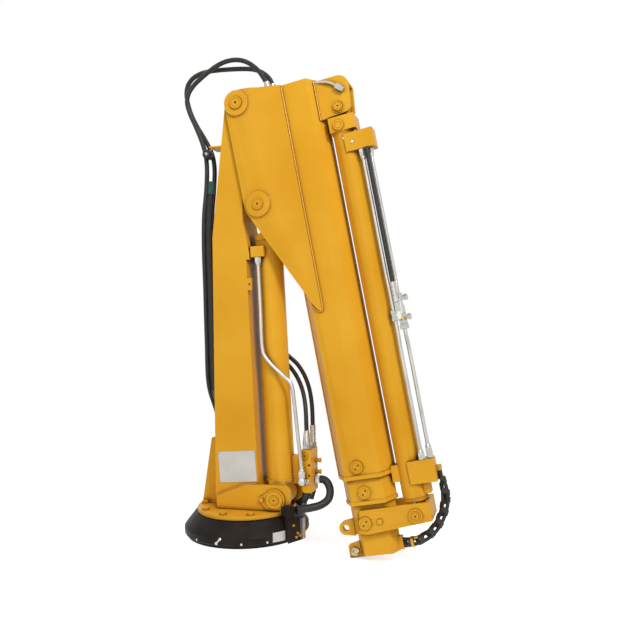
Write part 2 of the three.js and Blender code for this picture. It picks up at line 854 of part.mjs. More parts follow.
function outerBoom() {
  const tubeBody = hollowSection(0, boomWall, boomRearU, boomFrontU);
  const bellyV = boomCentreV - boomFlatHeight;
  const deep = boomCentreV - boomRidgeHeight - overrun;
  const open = block(boomRearU - overrun, bellyEnd, -boomHalfWidth * 2, boomHalfWidth * 2, deep, bellyV);
  const belly = block(boomRearU, bellyEnd, -boomHalfWidth, boomHalfWidth, bellyV, bellyV + boomWall);
  const collarStart = boomFrontU - collarLength;
  const collar = bar(sectionOutline(...sectionSize(-collarHeight)), collarStart, boomFrontU);
  const inside = sectionOutline(...sectionSize(boomWall));
  const ring = cut(collar, bar(inside, collarStart - overrun, boomFrontU + overrun));
  const rear = bar(
    [
      point(-boomHalfWidth, bellyV),
      point(boomHalfWidth, bellyV),
      point(boomHalfWidth, boomCentreV + boomFlatHeight),
      point(0, boomCentreV + boomRidgeHeight),
      point(-boomHalfWidth, boomCentreV + boomFlatHeight),
    ],
    boomRearU,
    boomRearU + boomWall,
  );
  const plugs = sectionPlugs(boomHalfWidth, boomFrontU - plugInset, boomCentreV - plugHeight * 2, plugRadius);
  return join(cut(tubeBody, open), belly, ring, rear, ...plugs);
}

const sectionTwoRear = bellyEnd + sectionRearStep;
const insetTwo = boomWall + sectionStep;
const insetThree = insetTwo + sectionWall + sectionStep;
const insetFour = insetThree + sectionWall + sectionStep;

function sectionTwo() {
  const body = hollowSection(insetTwo, sectionWall, sectionTwoRear, sectionTwoFront);
  const collarStart = sectionTwoFront - collarLength;
  const collar = bar(sectionOutline(...sectionSize(insetTwo - collarHeight)), collarStart, sectionTwoFront);
  const inside = sectionOutline(...sectionSize(insetTwo + sectionWall));
  const ring = cut(collar, bar(inside, collarStart - overrun, sectionTwoFront + overrun));
  const half = sectionSize(insetTwo)[0];
  const plugs = sectionPlugs(half, sectionTwoFront - plugInset, boomCentreV - plugHeight, plugRadius);
  return join(body, ring, ...plugs);
}

function sectionThree() {
  return hollowSection(insetThree, sectionWall, sectionTwoRear + sectionRearStep, sectionThreeFront);
}

function sectionFour() {
  const body = hollowSection(insetFour, sectionWall, sectionTwoRear + 2 * sectionRearStep, sectionFourFront);
  const outline = sectionOutline(...sectionSize(insetFour));
  const ridge = boomCentreV + sectionSize(insetFour)[2];
  const tipPort = block(
    tipPortStart,
    tipPortStart + tipPortLength,
    -tipPortHalfWidth,
    tipPortHalfWidth,
    ridge - tipPortHeight,
    ridge + tipPortHeight,
  );
  return join(body, bar(outline, sectionFourFront - tipPlateThickness, sectionFourFront), tipPort);
}

piece("outer_boom", outerBoom(), paint, boom);
piece("section_2", sectionTwo(), paint, boom);
piece("section_3", sectionThree(), paint, boom);
piece("section_4", sectionFour(), paint, boom);

// Knee plates: the cheeks outside the boom that carry the main pin and the lift pin
function kneeOutline() {
  const slope = THREE.MathUtils.degToRad(kneeSlope);
  const start = point(
    liftPinU + kneeLiftMargin * Math.sin(slope),
    liftPinV - kneeLiftMargin * Math.cos(slope),
  );
  const slopeLength = (kneeEdgeV - start.y) / Math.tan(slope);
  const end = new THREE.QuadraticBezierCurve(
    point(start.x + slopeLength, kneeEdgeV),
    point(kneeLength, kneeTopV - kneeEndRadius / 2),
    point(kneeLength, kneeTopV),
  ).getPoints(arcSteps);
  const aroundLift = arc(liftPinU, liftPinV, kneeLiftMargin, -90, -90 + kneeSlope);
  const rear = new THREE.QuadraticBezierCurve(
    point(-kneePinMargin, 0),
    point(-kneePinMargin, bossRadius),
    point(kneeRearU, kneeTopV / 2),
  ).getPoints(arcSteps);
  return [
    ...arc(0, 0, kneePinMargin, 180, 270),
    ...aroundLift,
    ...end,
    point(boomRearU, kneeTopV),
    ...rear.reverse().slice(0, -1),
  ];
}

function kneePlate(side) {
  const near = boomHalfWidth + seatGap;
  const far = near + kneeThickness;
  const order = (a, b) => (side < 0 ? [-b, -a] : [a, b]);
  const body = plate(kneeOutline(), ...order(near, far));
  const mainBoss = roundY(bossRadius, ...order(far - seatGap, far + bossHeight), 0, 0);
  const liftBoss = roundY(bossRadius, ...order(far - seatGap, far + bossHeight), liftPinU, liftPinV);
  const liftEnd = roundY(
    liftPinRadius,
    ...order(far, far + bossHeight + pinEndHeight),
    liftPinU,
    liftPinV,
  );
  const reach = far + bossHeight + overrun;
  return cut(join(body, mainBoss, liftBoss, liftEnd), roundY(mainPinRadius + seatGap, -reach, reach, 0, 0));
}

function mainPin() {
  const reach = kneeOuter + bossHeight + pinEndHeight;
  return roundY(mainPinRadius, -reach, reach, 0, 0);
}

function tiePlate() {
  const half = boomHalfWidth;
  const rear = tieU - tieThickness / 2;
  const body = block(
    rear,
    rear + tieThickness,
    -half,
    half,
    tieV - tieHeight / 2,
    tieV + tieHeight / 2,
  );
  const outer = roundX(socketRadius, rear - socketLength, tieU, outerSocketY, outerSocketV, smallSides);
  const inner = roundX(socketRadius, rear - socketLength, tieU, innerSocketY, innerSocketV, smallSides);
  return join(body, outer, inner);
}

piece("knee_plate_front", kneePlate(-1), paint, boom);
piece("knee_plate_back", kneePlate(1), paint, boom);
piece("main_pin", mainPin(), steel, boom);
piece("knee_tie_plate", tiePlate(), paint, boom);

// Extension cylinder: pinned in a bracket at the boom's rear, its rod pinned to the bar of the third section
function extensionBracket() {
  const start = bracketRearU;
  const end = bracketRearU + bracketLength;
  const corner = arc(start + bracketEdgeRadius, bracketTopV - bracketEdgeRadius, bracketEdgeRadius, 90, 180);
  const outline = [
    point(start, bracketBaseV),
    point(end, bracketBaseV),
    point(end - bracketBackWall, extAxisV + extEyeRadius),
    point(end - bracketEdgeRadius / 2, bracketTopV - bracketBackWall),
    ...corner,
  ];
  const near = extEyeHalfWidth + runGap;
  const far = near + bracketThickness;
  const plates = [plate(outline, -far, -near), plate(outline, near, far)];
  const bosses = [
    roundY(bracketBossRadius, -far - bracketBossHeight, -near, extPinU, extAxisV),
    roundY(bracketBossRadius, near, far + bracketBossHeight, extPinU, extAxisV),
  ];
  const back = [
    point(start, bracketBaseV),
    point(start + bracketBackWall, bracketBaseV),
    ...arc(
      start + bracketEdgeRadius,
      bracketTopV - bracketEdgeRadius,
      bracketEdgeRadius - bracketBackWall,
      90,
      180,
    ).reverse(),
    ...corner,
  ];
  const wrap = plate(back, -far, far);
  const reach = far + bracketBossHeight + overrun;
  const bore = roundY(extPinRadius + seatGap, -reach, reach, extPinU, extAxisV);
  const seat = bar(sectionOutline(...sectionSize(-seatGap)), start - overrun, end + overrun);
  return cut(join(...plates, ...bosses, wrap), bore, seat);
}

function extensionPin() {
  const reach = extEyeHalfWidth + runGap + bracketThickness + bracketBossHeight + pinEndHeight;
  return roundY(extPinRadius, -reach, reach, extPinU, extAxisV);
}

function extensionBarrel() {
  const eye = roundY(extEyeRadius, -extEyeHalfWidth, extEyeHalfWidth, extPinU, extAxisV);
  const blockEnd = extBlockStart + extBlockLength;
  const neck = block(
    extPinU,
    extBlockStart + extBlockLength / 2,
    -extEyeHalfWidth,
    extEyeHalfWidth,
    extAxisV - extEyeRadius * extNeckShare,
    extAxisV + extEyeRadius * extNeckShare,
  );
  const half = extBlockHalf;
  const low = extAxisV - extRadius;
  const body = block(extBlockStart, blockEnd, -half, half, low, extAxisV + half);
  const boss = roundY(
    extBlockBoss,
    -half - extBlockBossHeight,
    -half + seatGap,
    extBlockStart + extBlockLength * extBlockBossShare,
    extAxisV - extBlockBoss / 2,
  );
  const barrel = roundX(extRadius, blockEnd - seatGap, extBarrelEnd, 0, extAxisV);
  const bore = roundX(extBore, extBoreStart, extBarrelEnd + overrun, 0, extAxisV);
  const reach = extEyeHalfWidth + overrun;
  const eyeBore = roundY(extPinRadius + seatGap, -reach, reach, extPinU, extAxisV);
  return cut(join(eye, neck, body, boss, barrel), bore, eyeBore);
}

function extensionGland() {
  const start = extBarrelEnd + seatGap;
  const body = roundX(extGlandRadius, start, start + extGlandLength, 0, extAxisV);
  const reach = extGlandLength + overrun;
  return cut(body, roundX(extRodRadius + runGap, start - reach, start + reach, 0, extAxisV));
}

function extensionRod() {
  const rod = roundX(extRodRadius, extPistonStart, extRodPinU, 0, extAxisV);
  const eye = roundY(extRodEyeRadius, -extRodEyeHalfWidth, extRodEyeHalfWidth, extRodPinU, extAxisV);
  const reach = extRodEyeHalfWidth + overrun;
  const bore = roundY(extPinRadius + seatGap, -reach, reach, extRodPinU, extAxisV);
  return cut(join(rod, eye), bore);
}

function extensionPiston() {
  const end = extPistonStart + extPistonLength;
  const body = roundX(extBore - runGap, extPistonStart, end, 0, extAxisV);
  return cut(body, roundX(extRodRadius + seatGap, extPistonStart - overrun, end + overrun, 0, extAxisV));
}

// A port block seated on the barrel's front quarter, with a rounded outer corner
function portBlock(u, length, top) {
  const corner = arc(portBack - portCorner, top - portCorner, portCorner, 0, 90);
  const outline = [
    point(-portFront, extAxisV),
    point(portBack, extAxisV),
    ...corner,
    point(-portFront, top),
  ];
  const body = bar(outline, u - length / 2, u + length / 2);
  const barrel = roundX(extRadius + seatGap, u - length, u + length, 0, extAxisV);
  const behind = block(u - length, u + length, -extBore, portFront, extAxisV - overrun, extAxisV + extBore);
  return cut(body, barrel, behind);
}

// The lower one also steps down along the barrel, and carries the elbows of the tip hoses
function lowerPortBlock() {
  const end = lowerPortU + lowerPortLength / 2;
  const stepEnd = end + lowerStepLength;
  const step = bar(
    [
      point(-portFront / 2, extAxisV + extBore),
      point(portBack, extAxisV + extBore),
      point(portBack, lowerStepTop),
      point(-portFront / 2, lowerStepTop),
    ],
    end - seatGap,
    stepEnd,
  );
  const barrel = roundX(extRadius + seatGap, end - overrun, stepEnd + overrun, 0, extAxisV);
  const elbows = [-tipElbowY, tipElbowY].map((y) =>
    block(
      lowerPortU + tipElbowShift - tipElbowLength,
      lowerPortU + tipElbowShift,
      y - tipElbowHalf,
      y + tipElbowHalf,
      lowerPortTop - tipElbowHalf,
      tipElbowV + tipElbowHalf,
    ),
  );
  return join(portBlock(lowerPortU, lowerPortLength, lowerPortTop), cut(step, barrel), ...elbows);
}

function saddle() {
  const ridge = boomCentreV + boomRidgeHeight + collarHeight + seatGap;
  const end = saddleStart + saddleLength;
  const body = block(saddleStart, end, -saddleHalfWidth, saddleHalfWidth, ridge - overrun, saddleTopV);
  const barrel = roundX(extRadius + seatGap, saddleStart - overrun, end + overrun, 0, extAxisV);
  const collar = sectionOutline(...sectionSize(-collarHeight - seatGap));
  return cut(body, barrel, bar(collar, saddleStart - overrun, end + overrun));
}

piece("extension_bracket", extensionBracket(), paint, boom);
piece("extension_pin", extensionPin(), steel, boom);
piece("extension_barrel", extensionBarrel(), paint, boom);
piece("extension_gland", extensionGland(), paint, boom);
piece("extension_rod", extensionRod(), chrome, boom);
piece("extension_piston", extensionPiston(), steel, boom);
piece("upper_port_block", portBlock(upperPortU, upperPortLength, upperPortTop), paint, boom);
piece("lower_port_block", lowerPortBlock(), paint, boom);
piece("barrel_saddle", saddle(), paint, boom);

// Pipes along the extension cylinder, their union in the middle, and the hose between them
const lowPipeV = extAxisV + extRadius + pipeRise;
const highPipeV = lowPipeV + pipeSpacing;
const boomHoseV = highPipeV - boomHoseDrop;
const unionV = highPipeV;
const unionInletY = lowPipeY;
const unionInletV = unionV - unionInletDrop;
const upperPortEnd = upperPortU + upperPortLength / 2 + seatGap;
const lowerPortStart = lowerPortU - lowerPortLength / 2 - seatGap;

function pipeUnion() {
  const length = unionEnd - unionStart;
  const body = roundX(unionRadius, unionStart, unionEnd, unionY, unionV, smallSides);
  const outlets = [unionElbowShare, unionTeeShare].map((share) =>
    roundZ(unionStubRadius, unionV, unionV + unionStubLength, unionStart + share * length, unionY, smallSides),
  );
  const nut = roundX(unionNutRadius, unionEnd - unionNutLength, unionEnd, unionY, unionV, hexSides);
  const inlet = roundX(unionInletRadius, unionInletStart, unionInletEnd, unionInletY, unionInletV, smallSides);
  const nipple = roundX(unionStubRadius, hoseNippleStart, hoseNippleEnd, boomHoseY, boomHoseV, smallSides);
  const web = block(
    unionInletStart,
    unionInletEnd,
    unionInletY,
    unionY,
    unionInletV,
    unionV,
  );
  return join(body, ...outlets, nut, inlet, web, nipple);
}

// A pipe that runs straight, shifts to another line within one bend, and runs straight again
function shiftedPipe(from, bendStart, to) {
  const [fromU, fromY, fromV] = from;
  const [toU, toY, toV] = to;
  const bendEnd = bendStart + pipeBend;
  const places = [
    from,
    [(fromU + bendStart) / 2, fromY, fromV],
    [bendStart, fromY, fromV],
    [(bendStart + bendEnd) / 2, (fromY + toY) / 2, (fromV + toV) / 2],
    [bendEnd, toY, toV],
    [(bendEnd + toU) / 2, toY, toV],
    to,
  ];
  return tube(places, pipeRadius, tubeSides, pipeSteps);
}

const upperBend = unionStart - pipeBend - pipeStraight;
const lowerBend = unionEnd + pipeStraight;
const pipes = [
  [
    "steel_pipe_upper_left",
    [upperPortEnd, lowPipeY, lowPipeV],
    upperBend,
    [unionInletStart - seatGap, unionInletY, unionInletV],
  ],
  [
    "steel_pipe_upper_right",
    [upperPortEnd, highPipeY, highPipeV],
    upperBend,
    [unionStart - seatGap, unionY, unionV],
  ],
  [
    "steel_pipe_lower_left",
    [unionInletEnd + seatGap, unionInletY, unionInletV],
    lowerBend,
    [lowerPortStart, lowPipeY, lowPipeV],
  ],
  [
    "steel_pipe_lower_right",
    [unionEnd + seatGap, unionY, unionV],
    lowerBend,
    [lowerPortStart, highPipeY, highPipeV],
  ],
];
piece("pipe_union", pipeUnion(), steel, boom);
for (const [name, from, bendStart, to] of pipes) {
  piece(name, shiftedPipe(from, bendStart, to), steel, boom);
}

// Extension bar: two side plates and an end plate round the third section and the rod's eye
const barHalf = sectionSize(insetThree)[0] + seatGap;

function extensionBar() {
  const end = barStartU + barTopLength;
  const outline = [
    point(barStartU, barLeftV + barThickness),
    point(barStartU + barRootLength - barThickness / 2, barLeftV),
    point(barStartU + barRootLength, barLeftV + 2 * barThickness),
    point(end, barTopV),
    point(barStartU, barTopV),
  ];
  const outer = barHalf + barThickness;
  const sides = [plate(outline, -outer, -barHalf), plate(outline, barHalf, outer)];
  const cap = block(barStartU, end, -outer, outer, barTopV - barThickness, barTopV);
  const bosses = [
    roundY(barPinBoss, -outer - barPinBossHeight, -outer + seatGap, extRodPinU, extAxisV),
    roundY(barPinBoss, outer - seatGap, outer + barPinBossHeight, extRodPinU, extAxisV),
  ];
  const plugU = barStartU + plugInset;
  const plugs = [-1, 1].map((s) => {
    const face = s * (outer - seatGap);
    const out = s * (outer + plugHeight);
    return roundY(plugRadius, Math.min(face, out), Math.max(face, out), plugU, boomCentreV - plugRadius);
  });
  const reach = outer + barPinBossHeight + overrun;
  const bore = roundY(extPinRadius + seatGap, -reach, reach, extRodPinU, extAxisV);
  return cut(join(...sides, cap, ...bosses, ...plugs), bore);
}

function rodPin() {
  const reach = barHalf + barThickness + barPinBossHeight;
  return roundY(extPinRadius, -reach, reach, extRodPinU, extAxisV);
}

// The hook lug: a round nose that widens to its root on the third section's lower ridge
function hookLug() {
  const ridge = boomCentreV - sectionSize(insetThree)[2];
  const half = hookLugRoot / 2;
  const outline = [
    point(hookLugU - half, ridge + half),
    ...arc(hookLugU, hookLugV, hookLugRadius, 180, 360),
    point(hookLugU + half, ridge + half),
  ];
  const body = plate(outline, -lugThickness / 2, lugThickness / 2);
  const section = sectionOutline(...sectionSize(insetThree - seatGap));
  const around = bar(section, hookLugU - 2 * half, hookLugU + 2 * half);
  const bore = roundY(hookHoleRadius, -lugThickness, lugThickness, hookLugU, hookLugV, smallSides);
  return cut(body, around, bore);
}

// The tip lug: a plate with a square nose under the end of the last section
function tipLug() {
  const ridge = boomCentreV - sectionSize(insetFour)[2];
  const half = tipLugRoot / 2;
  const nose = tipLugV - tipLugRadius;
  const outline = [
    point(tipLugU - half, ridge + half),
    point(tipLugU - half, ridge),
    point(tipLugU - tipLugRadius, nose + seatGap),
    point(tipLugU + tipLugRadius, nose),
    point(tipLugU + tipLugRadius, ridge + half),
  ];
  const body = plate(outline, -lugThickness / 2, lugThickness / 2);
  const around = bar(sectionOutline(...sectionSize(insetFour - seatGap)), tipLugU - 2 * half, sectionFourFront);
  const front = bar(
    sectionOutline(...sectionSize(insetFour - seatGap)),
    sectionFourFront - overrun,
    sectionFourFront + seatGap,
  );
  const bore = roundY(tipPinRadius + seatGap, -lugThickness, lugThickness, tipLugU, tipLugV, smallSides);
  return cut(body, around, front, bore);
}

function tipPin() {
  const half = lugThickness / 2 + seatGap;
  const shaft = roundY(tipPinRadius, -half - tipPinHeadHeight, half, tipLugU, tipLugV, smallSides);
  const head = roundY(tipPinHead, -half - tipPinHeadHeight, -half, tipLugU, tipLugV, smallSides);
  return join(shaft, head);
}

piece("extension_bar", extensionBar(), paint, boom);
piece("rod_pin", rodPin(), steel, boom);
piece("hook_lug", hookLug(), paint, boom);
piece("tip_lug", tipLug(), paint, boom);
piece("tip_lug_pin", tipPin(), steel, boom);

// Lift cylinder: its foot eye turns on the foot pin and its rod's eye on the lift pin
function liftBarrel() {
  const eye = roundY(footEyeRadius, -footEyeHalfWidth, footEyeHalfWidth, 0, 0);
  const neckHalf = footEyeRadius * footNeckShare;
  const neck = block(0, liftBoreStart, -liftBarrelRadius, liftBarrelRadius, -neckHalf, neckHalf);
  const barrel = roundX(liftBarrelRadius, liftBoreStart - postWall, liftBarrelLength, 0, 0);
  const bore = roundX(liftBarrelBore, liftBoreStart + postWall, liftBarrelLength + overrun, 0, 0);
  const reach = footEyeHalfWidth + overrun;
  const eyeBore = roundY(footPinRadius + runGap, -reach, reach, 0, 0);
  const backPort = block(
    backPortAlong,
    backPortAlong + backPortLength,
    liftBarrelBore,
    liftBarrelRadius + backPortDepth,
    -backPortHalfWidth,
    backPortHalfWidth,
  );
  return cut(join(eye, neck, barrel, backPort), bore, eyeBore);
}

function liftGland() {
  const start = liftBarrelLength + seatGap;
  const end = start + liftGlandLength;
  const body = roundX(liftBarrelRadius, start, end, 0, 0);
  return cut(body, roundX(liftRodRadius + runGap, start - overrun, end + overrun, 0, 0));
}

function liftRod() {
  const rod = roundX(liftRodRadius, liftPistonStart, liftLength, 0, 0);
  const eye = roundY(liftEyeRadius, -liftEyeHalfWidth, liftEyeHalfWidth, liftLength, 0);
  const reach = liftEyeHalfWidth + overrun;
  return cut(join(rod, eye), roundY(liftPinRadius + seatGap, -reach, reach, liftLength, 0));
}

function liftPiston() {
  const end = liftPistonStart + liftPistonLength;
  const body = roundX(liftBarrelBore - runGap, liftPistonStart, end, 0, 0);
  return cut(body, roundX(liftRodRadius + seatGap, liftPistonStart - overrun, end + overrun, 0, 0));
}

function liftPin() {
  const reach = boomHalfWidth - postDepthGap;
  return roundY(liftPinRadius, -reach, reach, liftLength, 0);
}

function liftPort() {
  const half = liftPortSide / 2;
  const front = -liftBarrelRadius - liftPortHeight / 2;
  const body = block(
    liftPortAlong - liftPortHeight / 2,
    liftPortAlong + liftPortHeight / 2,
    front,
    0,
    liftPortSideStep - half,
    liftPortSideStep + half,
  );
  const reach = liftPortHeight + overrun;
  const barrel = roundX(liftBarrelRadius + seatGap, liftPortAlong - reach, liftPortAlong + reach, 0, 0);
  const behind = block(liftPortAlong - reach, liftPortAlong + reach, -overrun, overrun, -reach, reach);
  return cut(body, barrel, behind);
}

piece("lift_barrel", liftBarrel(), paint, lift);
piece("lift_gland", liftGland(), paint, lift);
piece("lift_rod", liftRod(), chrome, lift);
piece("lift_piston", liftPiston(), steel, lift);
piece("lift_pin", liftPin(), steel, lift);
piece("lift_port_block", liftPort(), paint, lift);

// Valve block on the lift cylinder, with its fittings and its arm to the barrel
const valveFront = -valveDepth / 2;
const liftPipeY = -liftBarrelRadius - liftPipeRadius - liftPipeGap;
const valveTop = valveZ + valveHeight / 2;
const valveSide = valveX + valveWidth / 2;

// The tapered fitting on top is a nut with a long cone down to the hose's thickness
function coneFitting() {
  const shoulder = valveTop + coneNutHeight;
  const profile = [
    point(0, valveTop - seatGap),
    point(coneFootRadius, valveTop - seatGap),
    point(coneFootRadius, shoulder),
    point(valveHoseRadius, shoulder + coneHeight),
    point(0, shoulder + coneHeight),
  ];
  return new THREE.LatheGeometry(profile, smallSides).rotateX(Math.PI / 2).translate(coneX, coneY, 0);
}

function valveBlock() {
  const half = valveWidth / 2;
  const tall = valveHeight / 2;
  const outline = [
    point(valveX - half, valveZ - tall + valveChamfer),
    point(valveX - half + valveChamfer, valveZ - tall),
    point(valveX + half, valveZ - tall),
    point(valveX + half, valveZ + tall),
    point(valveX - half, valveZ + tall),
  ];
  const body = plate(outline, valveFront, -valveFront);
  const plug = roundY(
    valvePlugRadius,
    valveFront - valvePlugHeight,
    valveFront + seatGap,
    valveX - half / 4,
    valveZ + valvePlugRise,
    smallSides,
  );
  const stubs = valveStubRises.map((rise) =>
    roundX(valveStubRadius, valveX, valveSide + valveStubLength, valveStubY, valveZ + rise, smallSides),
  );
  const feedPort = roundX(
    feedPortRadius,
    valveX,
    valveSide + feedPortLength,
    feedPortY,
    valveZ - feedPortDrop,
    smallSides,
  );
  const elbow = roundY(liftUnionRadius, liftPipeY, valveFront + seatGap, liftUnionX, liftUnionZ, smallSides);
  const union = roundZ(
    liftUnionRadius,
    liftUnionZ - liftUnionRadius,
    liftUnionZ + liftUnionLength,
    liftUnionX,
    liftPipeY,
    smallSides,
  );
  const nut = roundZ(topNutRadius, valveTop - seatGap, valveTop + topNutHeight, topNutX, topNutY, hexSides);
  const ferruleTop = valveTop + topNutHeight + ferruleHeight;
  const ferrule = roundZ(ferruleRadius, valveTop, ferruleTop, topNutX, topNutY, smallSides);
  return join(body, plug, ...stubs, feedPort, elbow, union, coneFitting(), nut, ferrule);
}

function valveArm() {
  const left = valveX - valveWidth / 2 - seatGap;
  const arm = block(
    footPinX,
    left,
    -valveArmThickness,
    valveArmThickness,
    valveZ - valveArmHeight / 2,
    valveZ + valveArmHeight / 2,
  );
  const reach = valveZ + valveHeight;
  const barrel = roundX(liftBarrelRadius + seatGap, -overrun, reach, 0, 0);
  barrel.rotateY(-liftAngle).translate(footPinX, 0, footPinZ);
  const inside = block(footPinX - overrun, footPinX + overrun, -reach, reach, 0, 2 * reach);
  return cut(arm, barrel, inside);
}

piece("valve_block", valveBlock(), paint);
piece("valve_arm", valveArm(), paint);

// The steel pipe from the upper port down to the elbow on the valve block
function liftPipe() {
  const along = liftPortAlong - liftPortHeight / 2 - 4 * seatGap;
  const topX = footPinX + along * Math.cos(liftAngle) - liftPortSideStep * Math.sin(liftAngle);
  const topZ = footPinZ + along * Math.sin(liftAngle);
  const bendX = topX + liftPipeDrift;
  const acrossBend = liftPipeX - bendX;
  const downBend = liftPipeBendLow - liftPipeBendHigh;
  const end = liftUnionZ + liftUnionLength + seatGap;
  const places = [
    [topX, liftPipeY, topZ],
    [(topX + bendX) / 2, liftPipeY, (topZ + liftPipeBendHigh) / 2],
    [bendX, liftPipeY, liftPipeBendHigh],
    ...liftPipeBendShares.map(([across, down]) => [
      bendX + across * acrossBend,
      liftPipeY,
      liftPipeBendHigh + down * downBend,
    ]),
    [liftPipeX, liftPipeY, liftPipeBendLow],
    [(liftPipeX + liftUnionX) / 2, liftPipeY, (liftPipeBendLow + end) / 2],
    [liftUnionX, liftPipeY, end + liftUnionRadius],
    [liftUnionX, liftPipeY, end],
  ];
  return tube(places, liftPipeRadius, tubeSides, 2 * pipeSteps);
}

piece("lift_pipe", liftPipe(), steel);

// Hoses, each given by the places its centre line passes
const knuckleOuterRoute = [
  [-108, 74, 115],
  [-108, 74, 150],
  [-110, 72, 250],
  [-118, 44, 370],
  [-127, 2, 470],
  [-129, -4, 620],
  [-131, -4, 800],
  [-133, -4, 930],
  [-130, -4, 1030],
  [-120, -4, 1120],
  [-117, -4, 1190],
  [-122, -4, 1236],
  [-135, -5, 1280],
  [-154, -6, 1327],
  [-172, -9, 1370],
  [-180, -12, 1406],
  [-173, -14, 1434],
  [-154, -14, 1459],
  [-127, -14, 1480],
  [-98, -14, 1499],
  [-66, -14, 1516],
  [-34, -14, 1525],
  [-2, -14, 1525.5],
  [26, -14, 1518],
  [52, -14, 1502],
  [74, -14, 1481],
  [89, -14, 1459],
  [100, -14, 1439],
  [105.9, -14, 1412.4],
];
const knuckleInnerRoute = [
  [-108, 50, 115],
  [-108, 50, 150],
  [-102, 52, 250],
  [-101, 44, 370],
  [-106, 20, 470],
  [-108, 14, 620],
  [-110, 14, 800],
  [-112, 14, 930],
  [-110, 14, 1030],
  [-101, 14, 1120],
  [-98, 14, 1190],
  [-106, 14, 1236],
  [-130, 14, 1285],
  [-157, 14, 1330],
  [-180, 14, 1378],
  [-192, 14, 1422],
  [-194, 14, 1449],
  [-187, 14, 1474],
  [-171, 14, 1492],
  [-149, 14, 1503],
  [-122, 14, 1508.5],
  [-86, 14, 1510],
  [-45, 14, 1508.5],
  [-8, 14, 1506],
  [24, 14, 1502.5],
  [50, 14, 1497],
  [73, 14, 1486.5],
  [92, 14, 1472],
  [105, 14, 1455],
  [110.5, 14, 1437],
  [114.1, 14, 1413.4],
];
const feedRoute = [
  [247.5, 8, 176],
  [259, 8, 175.6],
  [272, 5, 166],
  [281, 0, 144],
  [278, -10, 120],
  [258, -26, 104],
  [230, -44, 98],
  [208, -61, 97],
  [192, -76, 97],
];
const valveFrontRoute = [
  [212, -15, 333.6],
  [211.5, -15, 354],
  [209, -9, 388],
  [201, 6, 426],
  [187, 24, 462],
  [166, 42, 496],
  [140, 56, 526],
  [113, 62, 550],
  [96, 62, 571],
  [93.6, 62, 583],
  [93.2, 62, 592.8],
];
const valveBackRoute = [
  [221, 24, 345.6],
  [220.5, 25, 368],
  [218, 30, 402],
  [211, 39, 440],
  [199, 49, 476],
  [181, 58, 510],
  [158, 63, 540],
  [134, 64, 561],
  [119.5, 62, 576],
  [117.6, 62, 585],
  [117.2, 62, 593.6],
];
const tipFrontRoute = [
  [1230.6, -8, 396.5],
  [1242, -8, 397.6],
  [1258, -6, 402],
  [1278, -3, 406],
  [1306, -2, 406],
  [1334, -2, 401],
  [1362, -2, 389],
  [1390, -2, 371],
  [1414, -2, 348],
  [1431, -2, 321],
  [1440, -2, 294],
  [1443, -2, 270],
  [1442, -2, 246.6],
];
const tipBackRoute = [
  [1230.6, 8, 396.5],
  [1242, 8, 396.5],
  [1258, 6, 396],
  [1278, 4, 393.5],
  [1304, 3, 391],
  [1330, 3, 385.5],
  [1355, 3, 375],
  [1380, 3, 359],
  [1401, 3, 339],
  [1415, 3, 315],
  [1424, 3, 291],
  [1427, 3, 269],
  [1425, 3, 246.6],
];
const boomHoseRoute = [
  [232.8, -42, 372],
  [300, -42, 372],
  [420, -42, 372],
  [540, -42, 372],
  [660, -42, 372],
  [711.7, -42, 372],
];
piece("column_hose_outer", tube(knuckleOuterRoute, columnHoseRadius, tubeSides, columnHoseSteps), rubber);
piece("column_hose_inner", tube(knuckleInnerRoute, columnHoseRadius, tubeSides, columnHoseSteps), rubber);
piece("feed_hose", tube(feedRoute, feedHoseRadius, feedHoseSides, feedHoseSteps), rubber);
piece("valve_hose", tube(valveFrontRoute, valveHoseRadius, tubeSides, valveHoseSteps), rubber);
piece("valve_hose_back", tube(valveBackRoute, valveHoseRadius, tubeSides, valveHoseSteps), rubber);
piece("tip_hose_front", tube(tipFrontRoute, tipHoseRadius, tubeSides, tipHoseSteps), rubber, boom);
piece("tip_hose_back", tube(tipBackRoute, tipHoseRadius, tubeSides, tipHoseSteps), rubber, boom);
piece("boom_hose", tube(boomHoseRoute, boomHoseRadius, tubeSides, boomHoseSteps), rubber, boom);

export default crane;
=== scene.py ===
# A folding hydraulic crane for a pickup bed: slewing drive, column, lift cylinder and a folded
# telescopic boom, dressed from the foot upwards. Lengths are in metres, angles in radians.
import json
import math

import bmesh
import bpy
from mathutils import Matrix, Vector

